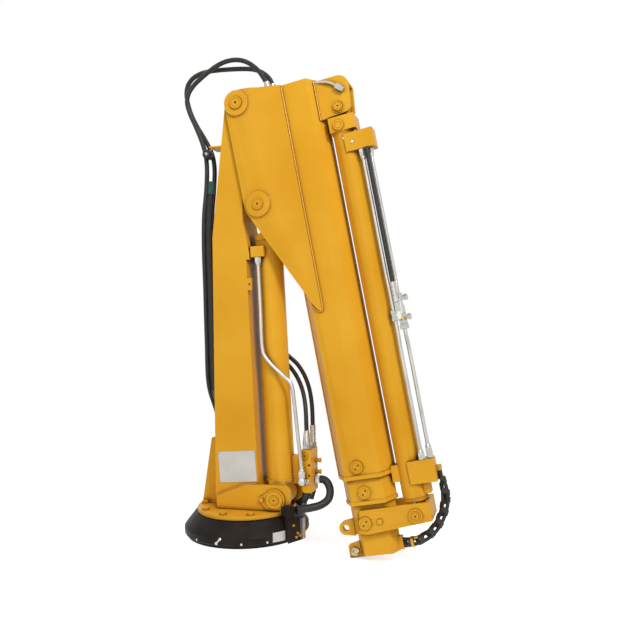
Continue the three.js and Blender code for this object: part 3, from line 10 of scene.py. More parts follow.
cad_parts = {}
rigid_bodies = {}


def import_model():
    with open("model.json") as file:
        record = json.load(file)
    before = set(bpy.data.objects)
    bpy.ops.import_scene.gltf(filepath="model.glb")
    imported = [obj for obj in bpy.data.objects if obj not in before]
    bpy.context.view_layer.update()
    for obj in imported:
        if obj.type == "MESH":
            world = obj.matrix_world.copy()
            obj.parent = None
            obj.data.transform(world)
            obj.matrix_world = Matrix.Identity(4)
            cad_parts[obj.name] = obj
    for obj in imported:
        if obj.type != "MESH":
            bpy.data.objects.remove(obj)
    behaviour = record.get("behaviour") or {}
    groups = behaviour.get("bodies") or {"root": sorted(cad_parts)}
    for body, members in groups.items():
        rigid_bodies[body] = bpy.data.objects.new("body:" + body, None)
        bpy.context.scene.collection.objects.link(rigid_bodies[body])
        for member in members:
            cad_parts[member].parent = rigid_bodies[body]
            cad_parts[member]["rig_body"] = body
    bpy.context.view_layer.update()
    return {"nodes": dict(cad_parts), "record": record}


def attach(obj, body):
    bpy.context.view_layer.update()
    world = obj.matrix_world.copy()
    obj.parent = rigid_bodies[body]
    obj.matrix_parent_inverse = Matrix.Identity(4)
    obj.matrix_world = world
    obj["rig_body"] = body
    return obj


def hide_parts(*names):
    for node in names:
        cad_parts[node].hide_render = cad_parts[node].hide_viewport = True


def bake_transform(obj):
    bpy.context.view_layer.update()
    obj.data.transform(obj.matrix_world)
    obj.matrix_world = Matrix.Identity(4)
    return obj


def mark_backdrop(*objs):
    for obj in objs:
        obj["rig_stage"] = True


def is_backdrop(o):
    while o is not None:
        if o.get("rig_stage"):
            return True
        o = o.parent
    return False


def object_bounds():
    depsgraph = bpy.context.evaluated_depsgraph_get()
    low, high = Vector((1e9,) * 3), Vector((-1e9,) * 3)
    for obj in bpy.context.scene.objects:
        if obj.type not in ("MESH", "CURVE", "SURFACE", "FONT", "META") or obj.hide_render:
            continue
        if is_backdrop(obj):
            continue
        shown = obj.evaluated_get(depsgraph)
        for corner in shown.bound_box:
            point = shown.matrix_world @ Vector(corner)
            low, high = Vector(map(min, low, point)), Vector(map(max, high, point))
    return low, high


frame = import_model()
MM = 0.001


# Camera: a plain lens, a little below the middle of the crane, to the right of its front and
# tipped slightly, where the photograph was taken.
camera_turn = math.radians(16)
camera_tip = math.radians(1.1)
camera_distance = 2.330
camera_aside = 0.247
camera_height = 0.680
lens_pixels = 717
frame_pixels = 639

sight = Vector((-math.sin(camera_turn), math.cos(camera_turn), 0))
level = Vector((math.cos(camera_turn), math.sin(camera_turn), 0))
up = Vector((0, 0, 1))
right = level * math.cos(camera_tip) - up * math.sin(camera_tip)
top = level * math.sin(camera_tip) + up * math.cos(camera_tip)
camera_data = bpy.data.cameras.new("photo_camera")
camera_data.sensor_fit = "HORIZONTAL"
camera_data.sensor_width = 36
camera_data.lens = lens_pixels * camera_data.sensor_width / frame_pixels
camera = bpy.data.objects.new("photo_camera", camera_data)
bpy.context.scene.collection.objects.link(camera)
place = level * camera_aside - sight * camera_distance + up * camera_height
camera.matrix_world = Matrix.Translation(place) @ Matrix((right, top, -sight)).transposed().to_4x4()
bpy.context.scene.camera = camera


# Slewing drive: a cast iron housing sprayed in satin black, with a worm tube at its back. It turns
# on a fixed foot plate; a rubber lip seals the gap under the yellow flange.
def linear(code):
    channels = [int(code[i : i + 2], 16) / 255 for i in (0, 2, 4)]
    return tuple(c / 12.92 if c <= 0.04045 else ((c + 0.055) / 1.055) ** 2.4 for c in channels) + (1,)


# Adds a node; each input takes a plain value, a socket, or a node for its first output
def add(tree, kind, inputs=(), **settings):
    made = tree.nodes.new(kind)
    for name, value in settings.items():
        setattr(made, name, value)
    for socket, value in dict(inputs).items():
        if isinstance(value, bpy.types.Node):
            value = value.outputs[0]
        if isinstance(value, bpy.types.NodeSocket):
            tree.links.new(value, made.inputs[socket])
        else:
            made.inputs[socket].default_value = value
    return made


def empty_material(name):
    material = bpy.data.materials.new(name)
    material.use_nodes = True
    material.node_tree.nodes.clear()
    return material, material.node_tree


# A finish: its colour clouds between two shades in a grain of real size, in millimetres, and its
# roughness goes with the cloud. A pebble has a size and a depth in millimetres too.
def finish(name, grain, shades, roughness, pebble=None, **constants):
    material, tree = empty_material(name)
    shader = add(tree, "ShaderNodeBsdfPrincipled")
    for socket, value in constants.items():
        shader.inputs[socket.replace("_", " ").title().replace("Ior", "IOR")].default_value = value
    add(tree, "ShaderNodeOutputMaterial", {"Surface": shader})
    at_piece = add(tree, "ShaderNodeTexCoord").outputs["Object"]
    noise = add(tree, "ShaderNodeTexNoise", {"Vector": at_piece, "Scale": 1 / (grain * MM), "Detail": 3.0})
    cloud = add(tree, "ShaderNodeMapRange", {"Value": noise, "From Min": 0.35, "From Max": 0.65})
    dark, light = (linear(code) for code in shades)
    colour = add(tree, "ShaderNodeMix", {"Factor": cloud, "A": dark, "B": light}, data_type="RGBA")
    tree.links.new(colour.outputs["Result"], shader.inputs["Base Color"])
    smooth, dull = roughness
    spread = add(tree, "ShaderNodeMapRange", {"Value": cloud, "To Min": smooth, "To Max": dull})
    tree.links.new(spread.outputs[0], shader.inputs["Roughness"])
    if pebble:
        size, depth = pebble
        grit = add(tree, "ShaderNodeTexNoise", {"Vector": at_piece, "Scale": 1 / (size * MM), "Detail": 2.0})
        bump = add(tree, "ShaderNodeBump", {"Height": grit, "Distance": depth * MM, "Strength": 1.0})
        tree.links.new(bump.outputs[0], shader.inputs["Normal"])
    return material


def copy_of(node_name):
    shell = bmesh.new()
    shell.from_mesh(frame["nodes"][node_name].data)
    bmesh.ops.remove_doubles(shell, verts=shell.verts, dist=0.01 * MM)
    bmesh.ops.dissolve_limit(shell, angle_limit=math.radians(0.4), verts=shell.verts, edges=shell.edges)
    bmesh.ops.connect_verts_concave(shell, faces=shell.faces)
    return shell


def smoothed(made, crease):
    made.data.shade_smooth()
    made.data.set_sharp_from_angle(angle=math.radians(crease))


# Shading, rounded edges in millimetres, and the body that carries a finished mesh object
def fitted(made, body, edge=0.0, replaces=(), crease=32):
    smoothed(made, crease)
    if edge:
        bevel = made.modifiers.new("rounded_edges", "BEVEL")
        bevel.width = edge * MM
        bevel.segments = 2
        bevel.limit_method = "ANGLE"
        bevel.angle_limit = math.radians(crease)
        bevel.harden_normals = True
    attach(made, body)
    if replaces:
        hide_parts(*replaces)
    return made


def object_of(name, shell, material):
    mesh = bpy.data.meshes.new(name)
    shell.to_mesh(mesh)
    shell.free()
    mesh.materials.clear()
    mesh.materials.append(material)
    made = bpy.data.objects.new(name, mesh)
    bpy.context.scene.collection.objects.link(made)
    return made


def piece(name, shell, material, body, edge=0.0, replaces=(), crease=32):
    return fitted(object_of(name, shell, material), body, edge, replaces, crease)


# Solids of the frame that keep their form: copied, given a finish and named for it
def dressed(node_names, ending, material, edge, crease=32):
    for node in node_names.split():
        body = frame["nodes"][node]["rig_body"]
        piece(f"{node}_{ending}", copy_of(node), material, body, edge, [node], crease)


# Satin black enamel sprayed over an iron casting: a soft brown-black sheen on a pebbled skin. The
# sand's grain is under 1 mm on the real skin, and drawn at 4 mm so that it shows.
casting = finish(
    "black_enamel_on_casting",
    60,
    ("1c1815", "2b2520"),
    (0.42, 0.54),
    (4, 0.10),
    coat_weight=0.03,
    coat_roughness=0.3,
    specular_ior_level=0.08,
)
dressed("foot_plate", "casting", casting, 1.2)
dressed("slew_housing", "casting", casting, 2.0, 24)


# Closed skins: rings of points joined one to the next, with a cap at each end
def skin(shell, rings, runs=None):
    sides = len(rings[0])
    layer = shell.loops.layers.uv.get("run") or shell.loops.layers.uv.new("run")
    for row, (ring, following) in enumerate(zip(rings, rings[1:])):
        for k in range(sides):
            face = shell.faces.new((ring[k], ring[(k + 1) % sides], following[(k + 1) % sides], following[k]))
            if runs:
                steps = ((0, 0), (0, 1), (1, 1), (1, 0))
                for loop, (ahead, round_) in zip(face.loops, steps):
                    loop[layer].uv = (runs[row + ahead], (k + round_) / sides)
    shell.faces.new(reversed(rings[0]))
    shell.faces.new(rings[-1])


# Rings on an axis, from pairs of height and radius in millimetres
def rings_round(shell, foot, axis, side, profile, sides):
    across = axis.cross(side)
    rings = []
    for height, radius in profile:
        ring = []
        for k in range(sides):
            angle = math.tau * k / sides
            out = side * math.cos(angle) + across * math.sin(angle)
            ring.append(shell.verts.new(foot + (axis * height + out * radius) * MM))
        rings.append(ring)
    return rings


# A turned or hexagonal fitting, and a hoop whose profile closes on itself
def turned(shell, foot, towards, profile, sides=28):
    axis = Vector(towards).normalized()
    skin(shell, rings_round(shell, foot, axis, axis.orthogonal().normalized(), profile, sides))


def hoop(shell, foot, axis, side, profile, sides):
    rings = rings_round(shell, foot, axis, side, profile, sides)
    for ring, following in zip(rings, rings[1:] + rings[:1]):
        for k in range(sides):
            shell.faces.new((ring[k], ring[(k + 1) % sides], following[(k + 1) % sides], following[k]))
    bmesh.ops.recalc_face_normals(shell, faces=shell.faces)


def at(x, y, z):
    return Vector((x, y, z)) * MM


# A flat plate cut to an outline in millimetres and given a thickness by two depths
def plate(shell, outline, near, far, position):
    rings = [[shell.verts.new(position(a, b, depth)) for a, b in outline] for depth in (near, far)]
    before = set(shell.faces)
    skin(shell, rings)
    bmesh.ops.recalc_face_normals(shell, faces=[face for face in shell.faces if face not in before])


def block(shell, left, low, right, high, near, far, position):
    plate(shell, [(left, low), (right, low), (right, high), (left, high)], near, far, position)


# Nitrile rubber, moulded: near black and dull
sealing_rubber = finish("nitrile_rubber", 18, ("141211", "211e1c"), (0.5, 0.65))
seal_foot = 73.8
seal_profile = [(0, 144), (0, 153.5), (1.6, 153.5), (2.6, 150), (2.6, 144)]
shell = bmesh.new()
hoop(shell, at(0, 0, seal_foot), up, Vector((1, 0, 0)), seal_profile, 96)
piece("flange_lip_seal", shell, sealing_rubber, "column")


# Screws of the housing's lower rim, rivets, washers and pipe nuts: turned from bar and plated with
# zinc. One tree grows them all, a collar and a head on each marked point.
def new_group(name, start, numbers, result):
    tree = bpy.data.node_groups.new(name, "GeometryNodeTree")
    inputs = {start: "Geometry"}
    inputs.update((number, "Int" if number == "Sides" else "Float") for number in numbers)
    inputs["Material"] = "Material"
    for socket, kind in inputs.items():
        tree.interface.new_socket(socket, in_out="INPUT", socket_type="NodeSocket" + kind)
    tree.interface.new_socket(result, in_out="OUTPUT", socket_type="NodeSocketGeometry")
    return tree, add(tree, "NodeGroupInput").outputs


def finish_group(tree, geometry, material):
    whole = add(tree, "GeometryNodeRealizeInstances", {"Geometry": geometry})
    coated = add(tree, "GeometryNodeSetMaterial", {"Geometry": whole, "Material": material})
    add(tree, "NodeGroupOutput", {0: coated})
    return tree


def heads_tree():
    numbers = ("Head Radius", "Head Height", "Sides", "Collar Radius", "Collar Height")
    tree, given = new_group("heads_on_points", "Points", numbers, "Heads")
    collar_sides = 20
    whole = add(tree, "GeometryNodeJoinGeometry")
    for sides, radius, height, foot in (
        (given["Sides"], given["Head Radius"], given["Head Height"], given["Collar Height"]),
        (collar_sides, given["Collar Radius"], given["Collar Height"], 0.0),
    ):
        drum = add(tree, "GeometryNodeMeshCylinder", {"Vertices": sides, "Radius": radius, "Depth": height})
        middle = add(tree, "ShaderNodeMath", {0: height, 1: 0.5, 2: foot}, operation="MULTIPLY_ADD")
        lift = add(tree, "ShaderNodeCombineXYZ", {"Z": middle})
        raised = add(tree, "GeometryNodeTransform", {"Geometry": drum, "Translation": lift})
        tree.links.new(raised.outputs[0], whole.inputs[0])
    aim = add(tree, "GeometryNodeInputNamedAttribute", {"Name": "aim"}, data_type="FLOAT_VECTOR")
    turn = add(tree, "FunctionNodeAlignRotationToVector", {"Vector": aim}, axis="Z")
    placed = {"Points": given["Points"], "Instance": whole, "Rotation": turn}
    return finish_group(tree, add(tree, "GeometryNodeInstanceOnPoints", placed), given["Material"])


# Grows a tree on a start mesh and returns the result as an object with a plain mesh
def grown(name, start, tree, values):
    made = bpy.data.objects.new(name, start)
    bpy.context.scene.collection.objects.link(made)
    modifier = made.modifiers.new("grown", "NODES")
    modifier.node_group = tree
    for socket in tree.interface.items_tree:
        if socket.name in values:
            modifier[socket.identifier] = values[socket.name]
    evaluated = made.evaluated_get(bpy.context.evaluated_depsgraph_get())
    mesh = bpy.data.meshes.new_from_object(evaluated)
    made.modifiers.remove(modifier)
    made.data = mesh
    return made


# Zinc plate: bright and pale, faintly cloudy
zinc = finish("zinc_plated_steel", 60, ("bcbbb6", "cccbc6"), (0.16, 0.26), metallic=0.7)
screw_heads = heads_tree()


def heads(name, marks, body, radius, height, collar=None, sides=6, material=zinc):
    start = bpy.data.meshes.new(name + "_marks")
    start.from_pydata([tuple(place) for place, aim in marks], [], [])
    aims = start.attributes.new("aim", "FLOAT_VECTOR", "POINT")
    aims.data.foreach_set("vector", [value for place, aim in marks for value in aim])
    collar_radius, collar_height = collar or (radius * 1.15, height * 0.2)
    values = {
        "Head Radius": radius * MM,
        "Head Height": height * MM,
        "Sides": sides,
        "Collar Radius": collar_radius * MM,
        "Collar Height": collar_height * MM,
        "Material": material,
    }
    fitted(grown(name, start, screw_heads, values), body, 0.12 * height)


def plated(name, shell, body, edge=0.0, replaces=()):
    piece(name, shell, zinc, body, edge, replaces)


def outwards(degrees):
    return Vector((math.cos(math.radians(degrees)), math.sin(math.radians(degrees)), 0))


# A place on the housing's lower rim
def rim(degrees, height, out=0.0):
    housing_radius = 200
    return outwards(degrees) * (housing_radius + out) * MM + at(0, 0, height)


rim_screws, first_rim_screw = 16, -96
rim_screw_turns = [first_rim_screw + 360 / rim_screws * k for k in range(rim_screws)]
rim_marks = [(rim(turn, 17, -0.5), outwards(turn)) for turn in rim_screw_turns]
heads("rim_screws", rim_marks, "column", 3.2, 1.8)


# Grease nipple: a short angled body turned from steel and plated, with a round head. It is screwed
# into the housing at the front.
nipple_turn = -95.3
nipple_neck = rim(nipple_turn, 20, 3)
nipple_head = rim(-90.6, 36, 7)
nipple_profile = [(0, 2.6), (15, 2.6), (16.5, 4.2), (20, 4.6), (23, 3.6), (24.5, 1.4)]
shell = bmesh.new()
turned(shell, rim(nipple_turn, 19, -1), outwards(nipple_turn), [(0, 5), (6, 5), (7, 4), (8, 2)], 6)
turned(shell, nipple_neck, nipple_head - nipple_neck, nipple_profile, 16)
plated("grease_nipple", shell, "column", 0.2)


# Bare label: thin aluminium sheet, anodised matt and pale, bent to the housing's rim and held by a
# rivet at each corner.
sheet_metal = finish("anodised_aluminium_sheet", 70, ("bebdb6", "cbc9c2"), (0.38, 0.50), metallic=0.35)
label_left, label_right = -45.9, -33.4
label_low, label_high = 14, 43
label_inner, label_outer = -0.3, 0.7
label_section = (
    (label_inner, label_low),
    (label_outer, label_low),
    (label_outer, label_high),
    (label_inner, label_high),
)
label_steps = 10
shell = bmesh.new()
label_rings = []
for k in range(label_steps + 1):
    degrees = label_left + (label_right - label_left) * k / label_steps
    label_rings.append([shell.verts.new(rim(degrees, height, out)) for out, height in label_section])
skin(shell, label_rings)
bmesh.ops.recalc_face_normals(shell, faces=shell.faces)
piece("housing_label_plate", shell, sheet_metal, "column", 0.2)
label_marks = [
    (rim(degrees, height, 0.6), outwards(degrees))
    for degrees in (label_left + 1, label_right - 1)
    for height in (label_low + 3, label_high - 3)
]
heads("label_rivets", label_marks, "column", 1.6, 0.8, sides=12)


# Worm drive: the end cap, the hydraulic motor and the gear ring are left as cast or turned iron,
# oiled and dull. Four cap screws hold the motor's flange and six the end cap. The iron's grain is
# under 1 mm, and drawn at 3 mm so that it shows.
iron = finish("machined_cast_iron", 12, ("34322f", "4a4744"), (0.42, 0.60), (3, 0.06), metallic=0.6)
dressed("slew_gear_ring worm_end_cap slew_motor", "turned", iron, 1.0)

worm_y, worm_z = 192, 43
motor_face, motor_screw_reach = -140, 27
motor_marks = [
    (at(motor_face, worm_y + motor_screw_reach * a, worm_z + motor_screw_reach * b), Vector((-1, 0, 0)))
    for a in (-1, 1)
    for b in (-1, 1)
]
heads("motor_screws", motor_marks, "column", 4.5, 5)
cap_face, cap_screw_circle, cap_screws = 134.7, 21, 6
cap_marks = []
for k in range(cap_screws):
    a = math.tau * k / cap_screws
    foot = at(cap_face, worm_y + cap_screw_circle * math.cos(a), worm_z + cap_screw_circle * math.sin(a))
    cap_marks.append((foot, Vector((1, 0, 0))))
heads("end_cap_screws", cap_marks, "column", 3.5, 3.5)


# Turntable flange, column and its plates: cut steel plate, welded and sprayed in yellow enamel
# with a low gloss, over softly rounded edges. Its faint orange peel is about 2 mm across on the
# real paint, and drawn at 6 mm so that it shows.
def yellow_enamel(name, gloss):
    material = finish(
        name,
        260,
        ("df9f22", "e8ac2f"),
        (0.34, 0.42),
        (6, 0.05),
        coat_weight=gloss,
        coat_roughness=0.24,
        specular_ior_level=0.06,
    )
    tree = material.node_tree
    colour = tree.nodes["Principled BSDF"].inputs["Base Color"]
    unshaded_enamel = colour.links[0].from_socket
    # Painted shade: the paint darkens to brown where ambient occlusion finds two plates meeting or a recess
    corner = add(tree, "ShaderNodeAmbientOcclusion", {"Distance": 18 * MM}, samples=8).outputs["AO"]
    unshaded_share = add(tree, "ShaderNodeMapRange", {"Value": corner, "From Min": 0.4, "From Max": 0.92})
    shades = {"Factor": unshaded_share, "A": linear("6e400c"), "B": unshaded_enamel}
    painted_corner_shade = add(tree, "ShaderNodeMix", shades, data_type="RGBA")
    tree.links.new(painted_corner_shade.outputs["Result"], colour)
    return material


enamel = yellow_enamel("yellow_stoving_enamel", 0.08)
plate_edge = 1.8
dressed(
    "turntable_flange column_post column_gusset foot_ear_front foot_ear_back foot_pin_keeper",
    "enamelled",
    enamel,
    plate_edge,
)


# Weld beads: a rounded bead laid along each joint in short overlapping ripples, under glossier
# paint that ran together on them
def path_mesh(name, lines):
    mesh = bpy.data.meshes.new(name)
    places, links = [], []
    for line in lines:
        start = len(places)
        places += [tuple(place) for place in line]
        links += [(k, k + 1) for k in range(start, len(places) - 1)]
    mesh.from_pydata(places, links, [])
    return mesh


# A path mesh as a curve with an even step
def even_curve(tree, path, step):
    line = add(tree, "GeometryNodeMeshToCurve", {"Mesh": path})
    return add(tree, "GeometryNodeResampleCurve", {"Curve": line, "Length": step}, mode="LENGTH")


def bead_tree():
    numbers = ("Bead Radius", "Ripple Pitch", "Ripple Low")
    tree, given = new_group("bead_on_path", "Path", numbers, "Bead")
    rings_per_ripple = 3
    bead_sides = 8
    pitch = given["Ripple Pitch"]
    step = add(tree, "ShaderNodeMath", {0: pitch, 1: rings_per_ripple}, operation="DIVIDE")
    even = even_curve(tree, given["Path"], step)
    along = add(tree, "GeometryNodeSplineParameter").outputs["Length"]
    ripples = add(tree, "ShaderNodeMath", {0: along, 1: pitch}, operation="DIVIDE")
    part = add(tree, "ShaderNodeMath", {0: ripples}, operation="FRACT")
    swell = add(tree, "ShaderNodeMapRange", {"Value": part, "To Min": given["Ripple Low"], "To Max": 1.0})
    section = {"Resolution": bead_sides, "Radius": given["Bead Radius"]}
    circle = add(tree, "GeometryNodeCurvePrimitiveCircle", section)
    laid = {"Curve": even, "Profile Curve": circle, "Scale": swell, "Fill Caps": True}
    return finish_group(tree, add(tree, "GeometryNodeCurveToMesh", laid), given["Material"])


bead_enamel = yellow_enamel("yellow_enamel_run_on_welds", 0.9)
bead_on_path = bead_tree()


def welds(name, lines, body, radius=3.5):
    values = {
        "Bead Radius": radius * MM,
        "Ripple Pitch": 6.0 * MM,
        "Ripple Low": 0.9,
        "Material": bead_enamel,
    }
    start = path_mesh(name + "_path", lines)
    fitted(grown(name, start, bead_on_path, values), body, crease=60)


post_left, post_right, post_side, flange_top = -82, 66, 60, 88
post_corners = ((post_right, -1), (post_left, -1), (post_left, 1), (post_right, 1))
column_welds = [[at(x, side * post_side, flange_top) for x, side in post_corners]]
ear_edge_weld = [(-74, 129), (28, 169), (60, 169)]
gusset_half, gusset_rise, gusset_reach = 6, 300, 68
gusset_weld = [
    (post_left, gusset_rise),
    (post_left, flange_top + 2),
    (post_left - gusset_reach, flange_top + 1),
]
for side in (-1, 1):
    column_welds.append([at(x, side * (post_side + 1), z) for x, z in ear_edge_weld])
    column_welds.append([at(x, side * gusset_half, z) for x, z in gusset_weld])
welds("column_weld_beads", column_welds, "column")


# Nameplate: a bare sheet of anodised aluminium with a pressed border, set a little aslant and held
# to the column by a rivet at each corner.
plate_middle = (-6, 220.5)
half_wide, half_high = 62.5, 49
plate_turn = math.radians(3.5)
plate_face = 0.9


def on_nameplate(x, z, depth):
    a = x * math.cos(plate_turn) - z * math.sin(plate_turn)
    b = x * math.sin(plate_turn) + z * math.cos(plate_turn)
    return at(plate_middle[0] + a, -post_side - depth, plate_middle[1] + b)


shell = bmesh.new()
block(shell, -half_wide, -half_high, half_wide, half_high, -0.3, 1.0, on_nameplate)
border = 5.5
line_half = 0.7
line_x, line_z = half_wide - border, half_high - border
for x, z, wide, high in (
    (0, line_z, line_x, line_half),
    (0, -line_z, line_x, line_half),
    (line_x, 0, line_half, line_z),
    (-line_x, 0, line_half, line_z),
):
    block(shell, x - wide, z - high, x + wide, z + high, plate_face, plate_face + 0.5, on_nameplate)
piece("column_nameplate", shell, sheet_metal, "column", 0.3)
corner = 4.0
nameplate_marks = [
    (on_nameplate(a * (half_wide - corner), b * (half_high - corner), plate_face), Vector((0, -1, 0)))
    for a in (-1, 1)
    for b in (-1, 1)
]
heads("nameplate_rivets", nameplate_marks, "column", 2.8, 1.3, sides=12)


# Main, foot and lift pins: ground steel bars, painted over with the crane. Each end shows a turned
# ring and its centre hole, filled with a dark disc of painted shade.
# Ground steel is bright and a little cloudy; the painted shade in the holes is dark brown
steel = finish("ground_steel", 10, ("b4b2ab", "cfcdc6"), (0.24, 0.36), metallic=1.0)
painted_hole_shade = finish("painted_hole_shade_brown", 5, ("2a1a0c", "3d2814"), (0.3, 0.5))
front = Vector((0, -1, 0))
back = Vector((0, 1, 0))


def pin_faces(name, ends, body, radius):
    profile = [
        (-1.0, radius - 0.4),
        (1.4, radius - 0.4),
        (2.2, radius - 1.4),
        (2.2, radius * 0.84),
        (1.0, radius * 0.78),
        (1.0, radius * 0.66),
        (2.0, radius * 0.60),
        (2.0, radius * 0.22),
        (0.8, radius * 0.17),
    ]
    hole_foot = 0.6
    shell = bmesh.new()
    for centre, towards in ends:
        turned(shell, centre, towards, profile, 36)
    piece(name, shell, enamel, body)
    # The centre hole is a dark disc of painted shade
    marks = [(centre + towards * hole_foot * MM, towards) for centre, towards in ends]
    heads(name + "_centres", marks, body, radius * 0.155, 0.9, sides=14, material=painted_hole_shade)


def joint(name):
    return next(j for j in frame["record"]["behaviour"]["joints"] if j["name"] == name)


main_pin = Vector(joint("boom_hinge")["pos_m"])
foot_pin = Vector(joint("lift_barrel_hinge")["pos_m"])
dressed("foot_pin", "enamelled", enamel, 0.8)
dressed("main_pin_bush", "ground", steel, 0.8)
foot_pin_reach = 81.6 * MM
foot_ends = [(foot_pin + side * foot_pin_reach, side) for side in (front, back)]
pin_faces("foot_pin_faces", foot_ends, "column", 16)


# Hose bracket and its guard: bent plate in black enamel at the right of the base, with brass bolts
# and a bare steel channel that shields the cylinder's feed hose. The brass is a warm, dull yellow.
brass = finish("brass", 6, ("b5832c", "d9ae55"), (0.25, 0.4), metallic=1.0)
dressed("hose_bracket guard_plate", "enamelled", casting, 1.2)
dressed("hose_manifold", "plated", zinc, 1.2)
bracket_turn = math.atan2(-104, 190)
bracket_out = Vector((math.cos(bracket_turn), math.sin(bracket_turn), 0))
guard_face = 211.3


def on_bracket(aside, radial, height):
    return (bracket_out * radial + up.cross(bracket_out) * aside) * MM + at(0, 0, height)


brass_places = ((23.4, 29), (31, 20), (17.7, 18), (7, 55))
brass_marks = [(on_bracket(aside, guard_face, height), bracket_out) for aside, height in brass_places]
heads("guard_bolts", brass_marks, "column", 3.8, 3.2, material=brass)
channel_left = 35
channel_low, channel_high = 10, 73
channel_outline = [(0, 0), (2, 0), (2, 11), (9, 11), (9, 0), (11, 0), (11, 13), (0, 13)]
channel_places = [(channel_left + aside, guard_face + out) for aside, out in channel_outline]
shell = bmesh.new()
plate(shell, channel_places, channel_low, channel_high, on_bracket)
plated("guard_channel", shell, "column", 0.4)


# Lift cylinder: a honed tube with a welded foot eye, enamelled; its rod is hard chromed and
# polished. A plated steel pipe brings the oil up to the port at its head.
chrome = finish("hard_chrome", 30, ("c6c7c9", "dadbdd"), (0.08, 0.14), metallic=1.0)
dressed("lift_barrel lift_gland lift_port_block valve_arm", "enamelled", enamel, 1.4)
dressed("lift_rod", "chromed", chrome, 0.8)
dressed("lift_piston lift_pin", "ground", steel, 0.6)
lift_axis = Vector(joint("lift_rod_slide")["axis"])
lift_side = Vector((lift_axis.z, 0, -lift_axis.x))


def ring_path(centre, first, second, radius):
    steps = 40
    angles = [math.tau * k / steps for k in range(steps + 1)]
    return [centre + (first * math.cos(a) + second * math.sin(a)) * radius * MM for a in angles]


lift_barrel_radius, lift_eye_top, lift_barrel_end = 45, 52, 812.4
eye_weld = ring_path(foot_pin + lift_axis * lift_eye_top * MM, lift_side, back, lift_barrel_radius)
welds("lift_barrel_welds", [eye_weld], "lift_barrel", 3.0)
gland_profile = [(-3, 45.2), (-3, 46.4), (-0.5, 46.4), (-0.5, 45.2)]
shell = bmesh.new()
hoop(shell, foot_pin + lift_axis * lift_barrel_end * MM, lift_axis, lift_side, gland_profile, 56)
piece("lift_gland_lip", shell, enamel, "lift_barrel")


# A centripetal curve through the points of a route given in millimetres
def smooth_line(route, spacing=8.0, position=at):
    places = [position(*point) for point in route]
    places = [places[0] * 2 - places[1], *places, places[-1] * 2 - places[-2]]
    line = []
    for a, b, c, d in zip(places, places[1:], places[2:], places[3:]):
        knots = [0.0]
        for p, q in ((a, b), (b, c), (c, d)):
            knots.append(knots[-1] + math.sqrt((q - p).length))
        steps = max(2, round((c - b).length / (spacing * MM)))
        for step in range(steps):
            t = knots[1] + (knots[2] - knots[1]) * step / steps

            def between(p, q, i, j):
                return p + (q - p) * ((t - knots[i]) / (knots[j] - knots[i]))

            first = between(a, b, 0, 1)
            second = between(b, c, 1, 2)
            third = between(c, d, 2, 3)
            line.append(between(between(first, second, 0, 2), between(second, third, 1, 3), 1, 2))
    line.append(places[-2])
    return line


# A tube swept along a line; wide stretches it across the direction given by facing
def swept(shell, line, radius, sides=16, wide=1.0, facing=None):
    side = facing or (line[1] - line[0]).orthogonal()
    runs = [0.0]
    for p, q in zip(line, line[1:]):
        runs.append(runs[-1] + (q - p).length)
    rings = []
    for k, place in enumerate(line):
        ahead = (line[min(k + 1, len(line) - 1)] - line[max(k - 1, 0)]).normalized()
        side = (side - ahead * side.dot(ahead)).normalized()
        across = ahead.cross(side)
        reach = (radius(runs[k] / runs[-1]) if callable(radius) else radius) * MM
        angles = [math.tau * i / sides for i in range(sides)]
        outs = [side * math.cos(a) * wide + across * math.sin(a) for a in angles]
        rings.append([shell.verts.new(place + out * reach) for out in outs])
    skin(shell, rings, runs)


pipe_radius = 6
lift_pipe_route = [
    (75.0, -55, 881.6), (80.0, -55, 735.8), (85.0, -55, 590.0), (91.0, -55, 571.2),
    (111.0, -55, 546.0), (152.0, -55, 508.4), (177.0, -55, 483.2), (185.0, -55, 433.0),
    (195.5, -55, 322.7), (206.0, -55, 221.3), (206.0, -55, 212.4),
]
lift_pipe_line = smooth_line(lift_pipe_route)
shell = bmesh.new()
swept(shell, lift_pipe_line, pipe_radius, 18)
plated("lift_pipe_drawn", shell, "lift_barrel", replaces=["lift_pipe"])


# Pipe nuts: turned from hexagon steel bar, with a chamfered nose and a round shoulder, and plated.
# Each screws its pipe to a port.
def pipe_nut(shell, foot, towards, length):
    radius = 11
    hexagon = [(0, radius * 0.8), (1.5, radius), (length * 0.62, radius), (length * 0.7, radius * 0.86)]
    shoulder = [(0, radius * 0.8), (length * 0.28, radius * 0.8), (length * 0.4, pipe_radius + 0.8)]
    turned(shell, foot, towards, hexagon, 6)
    turned(shell, foot + towards.normalized() * length * 0.6 * MM, towards, shoulder, 20)


# The lift pipe's ends: plated steel, a nut at the top and, below, a nut over the round body of a
# banjo, which a bolt holds to the valve block.
pipe_x, pipe_y, banjo_y = 206, -55, -37.2
shell = bmesh.new()
pipe_nut(shell, lift_pipe_line[0] + at(0, 0, 0.4), lift_pipe_line[3] - lift_pipe_line[0], 26)
for foot, towards, profile, sides in (
    (at(pipe_x, pipe_y, 192), up, [(0, 9), (1.5, 11), (18, 11), (20, 9.6)], 6),
    (at(pipe_x, pipe_y, 209), up, [(0, 8.6), (7, 8.6), (10, pipe_radius + 0.6)], 20),
    (at(pipe_x, pipe_y, 168), up, [(0, 6), (2, 10), (22, 10), (25, 8.5)], 24),
    (at(pipe_x, banjo_y, 180), front, [(0, 8), (12, 8), (14, 10.5), (25, 10.5), (27, 8.5)], 24),
    (at(217, banjo_y, 177), front, [(0, 8.5), (3, 8.5), (4, 7.4), (4, 4.6), (2.4, 4)], 24),
):
    turned(shell, foot, towards, profile, sides)
plated("lift_pipe_fittings", shell, "lift_barrel", 0.3)


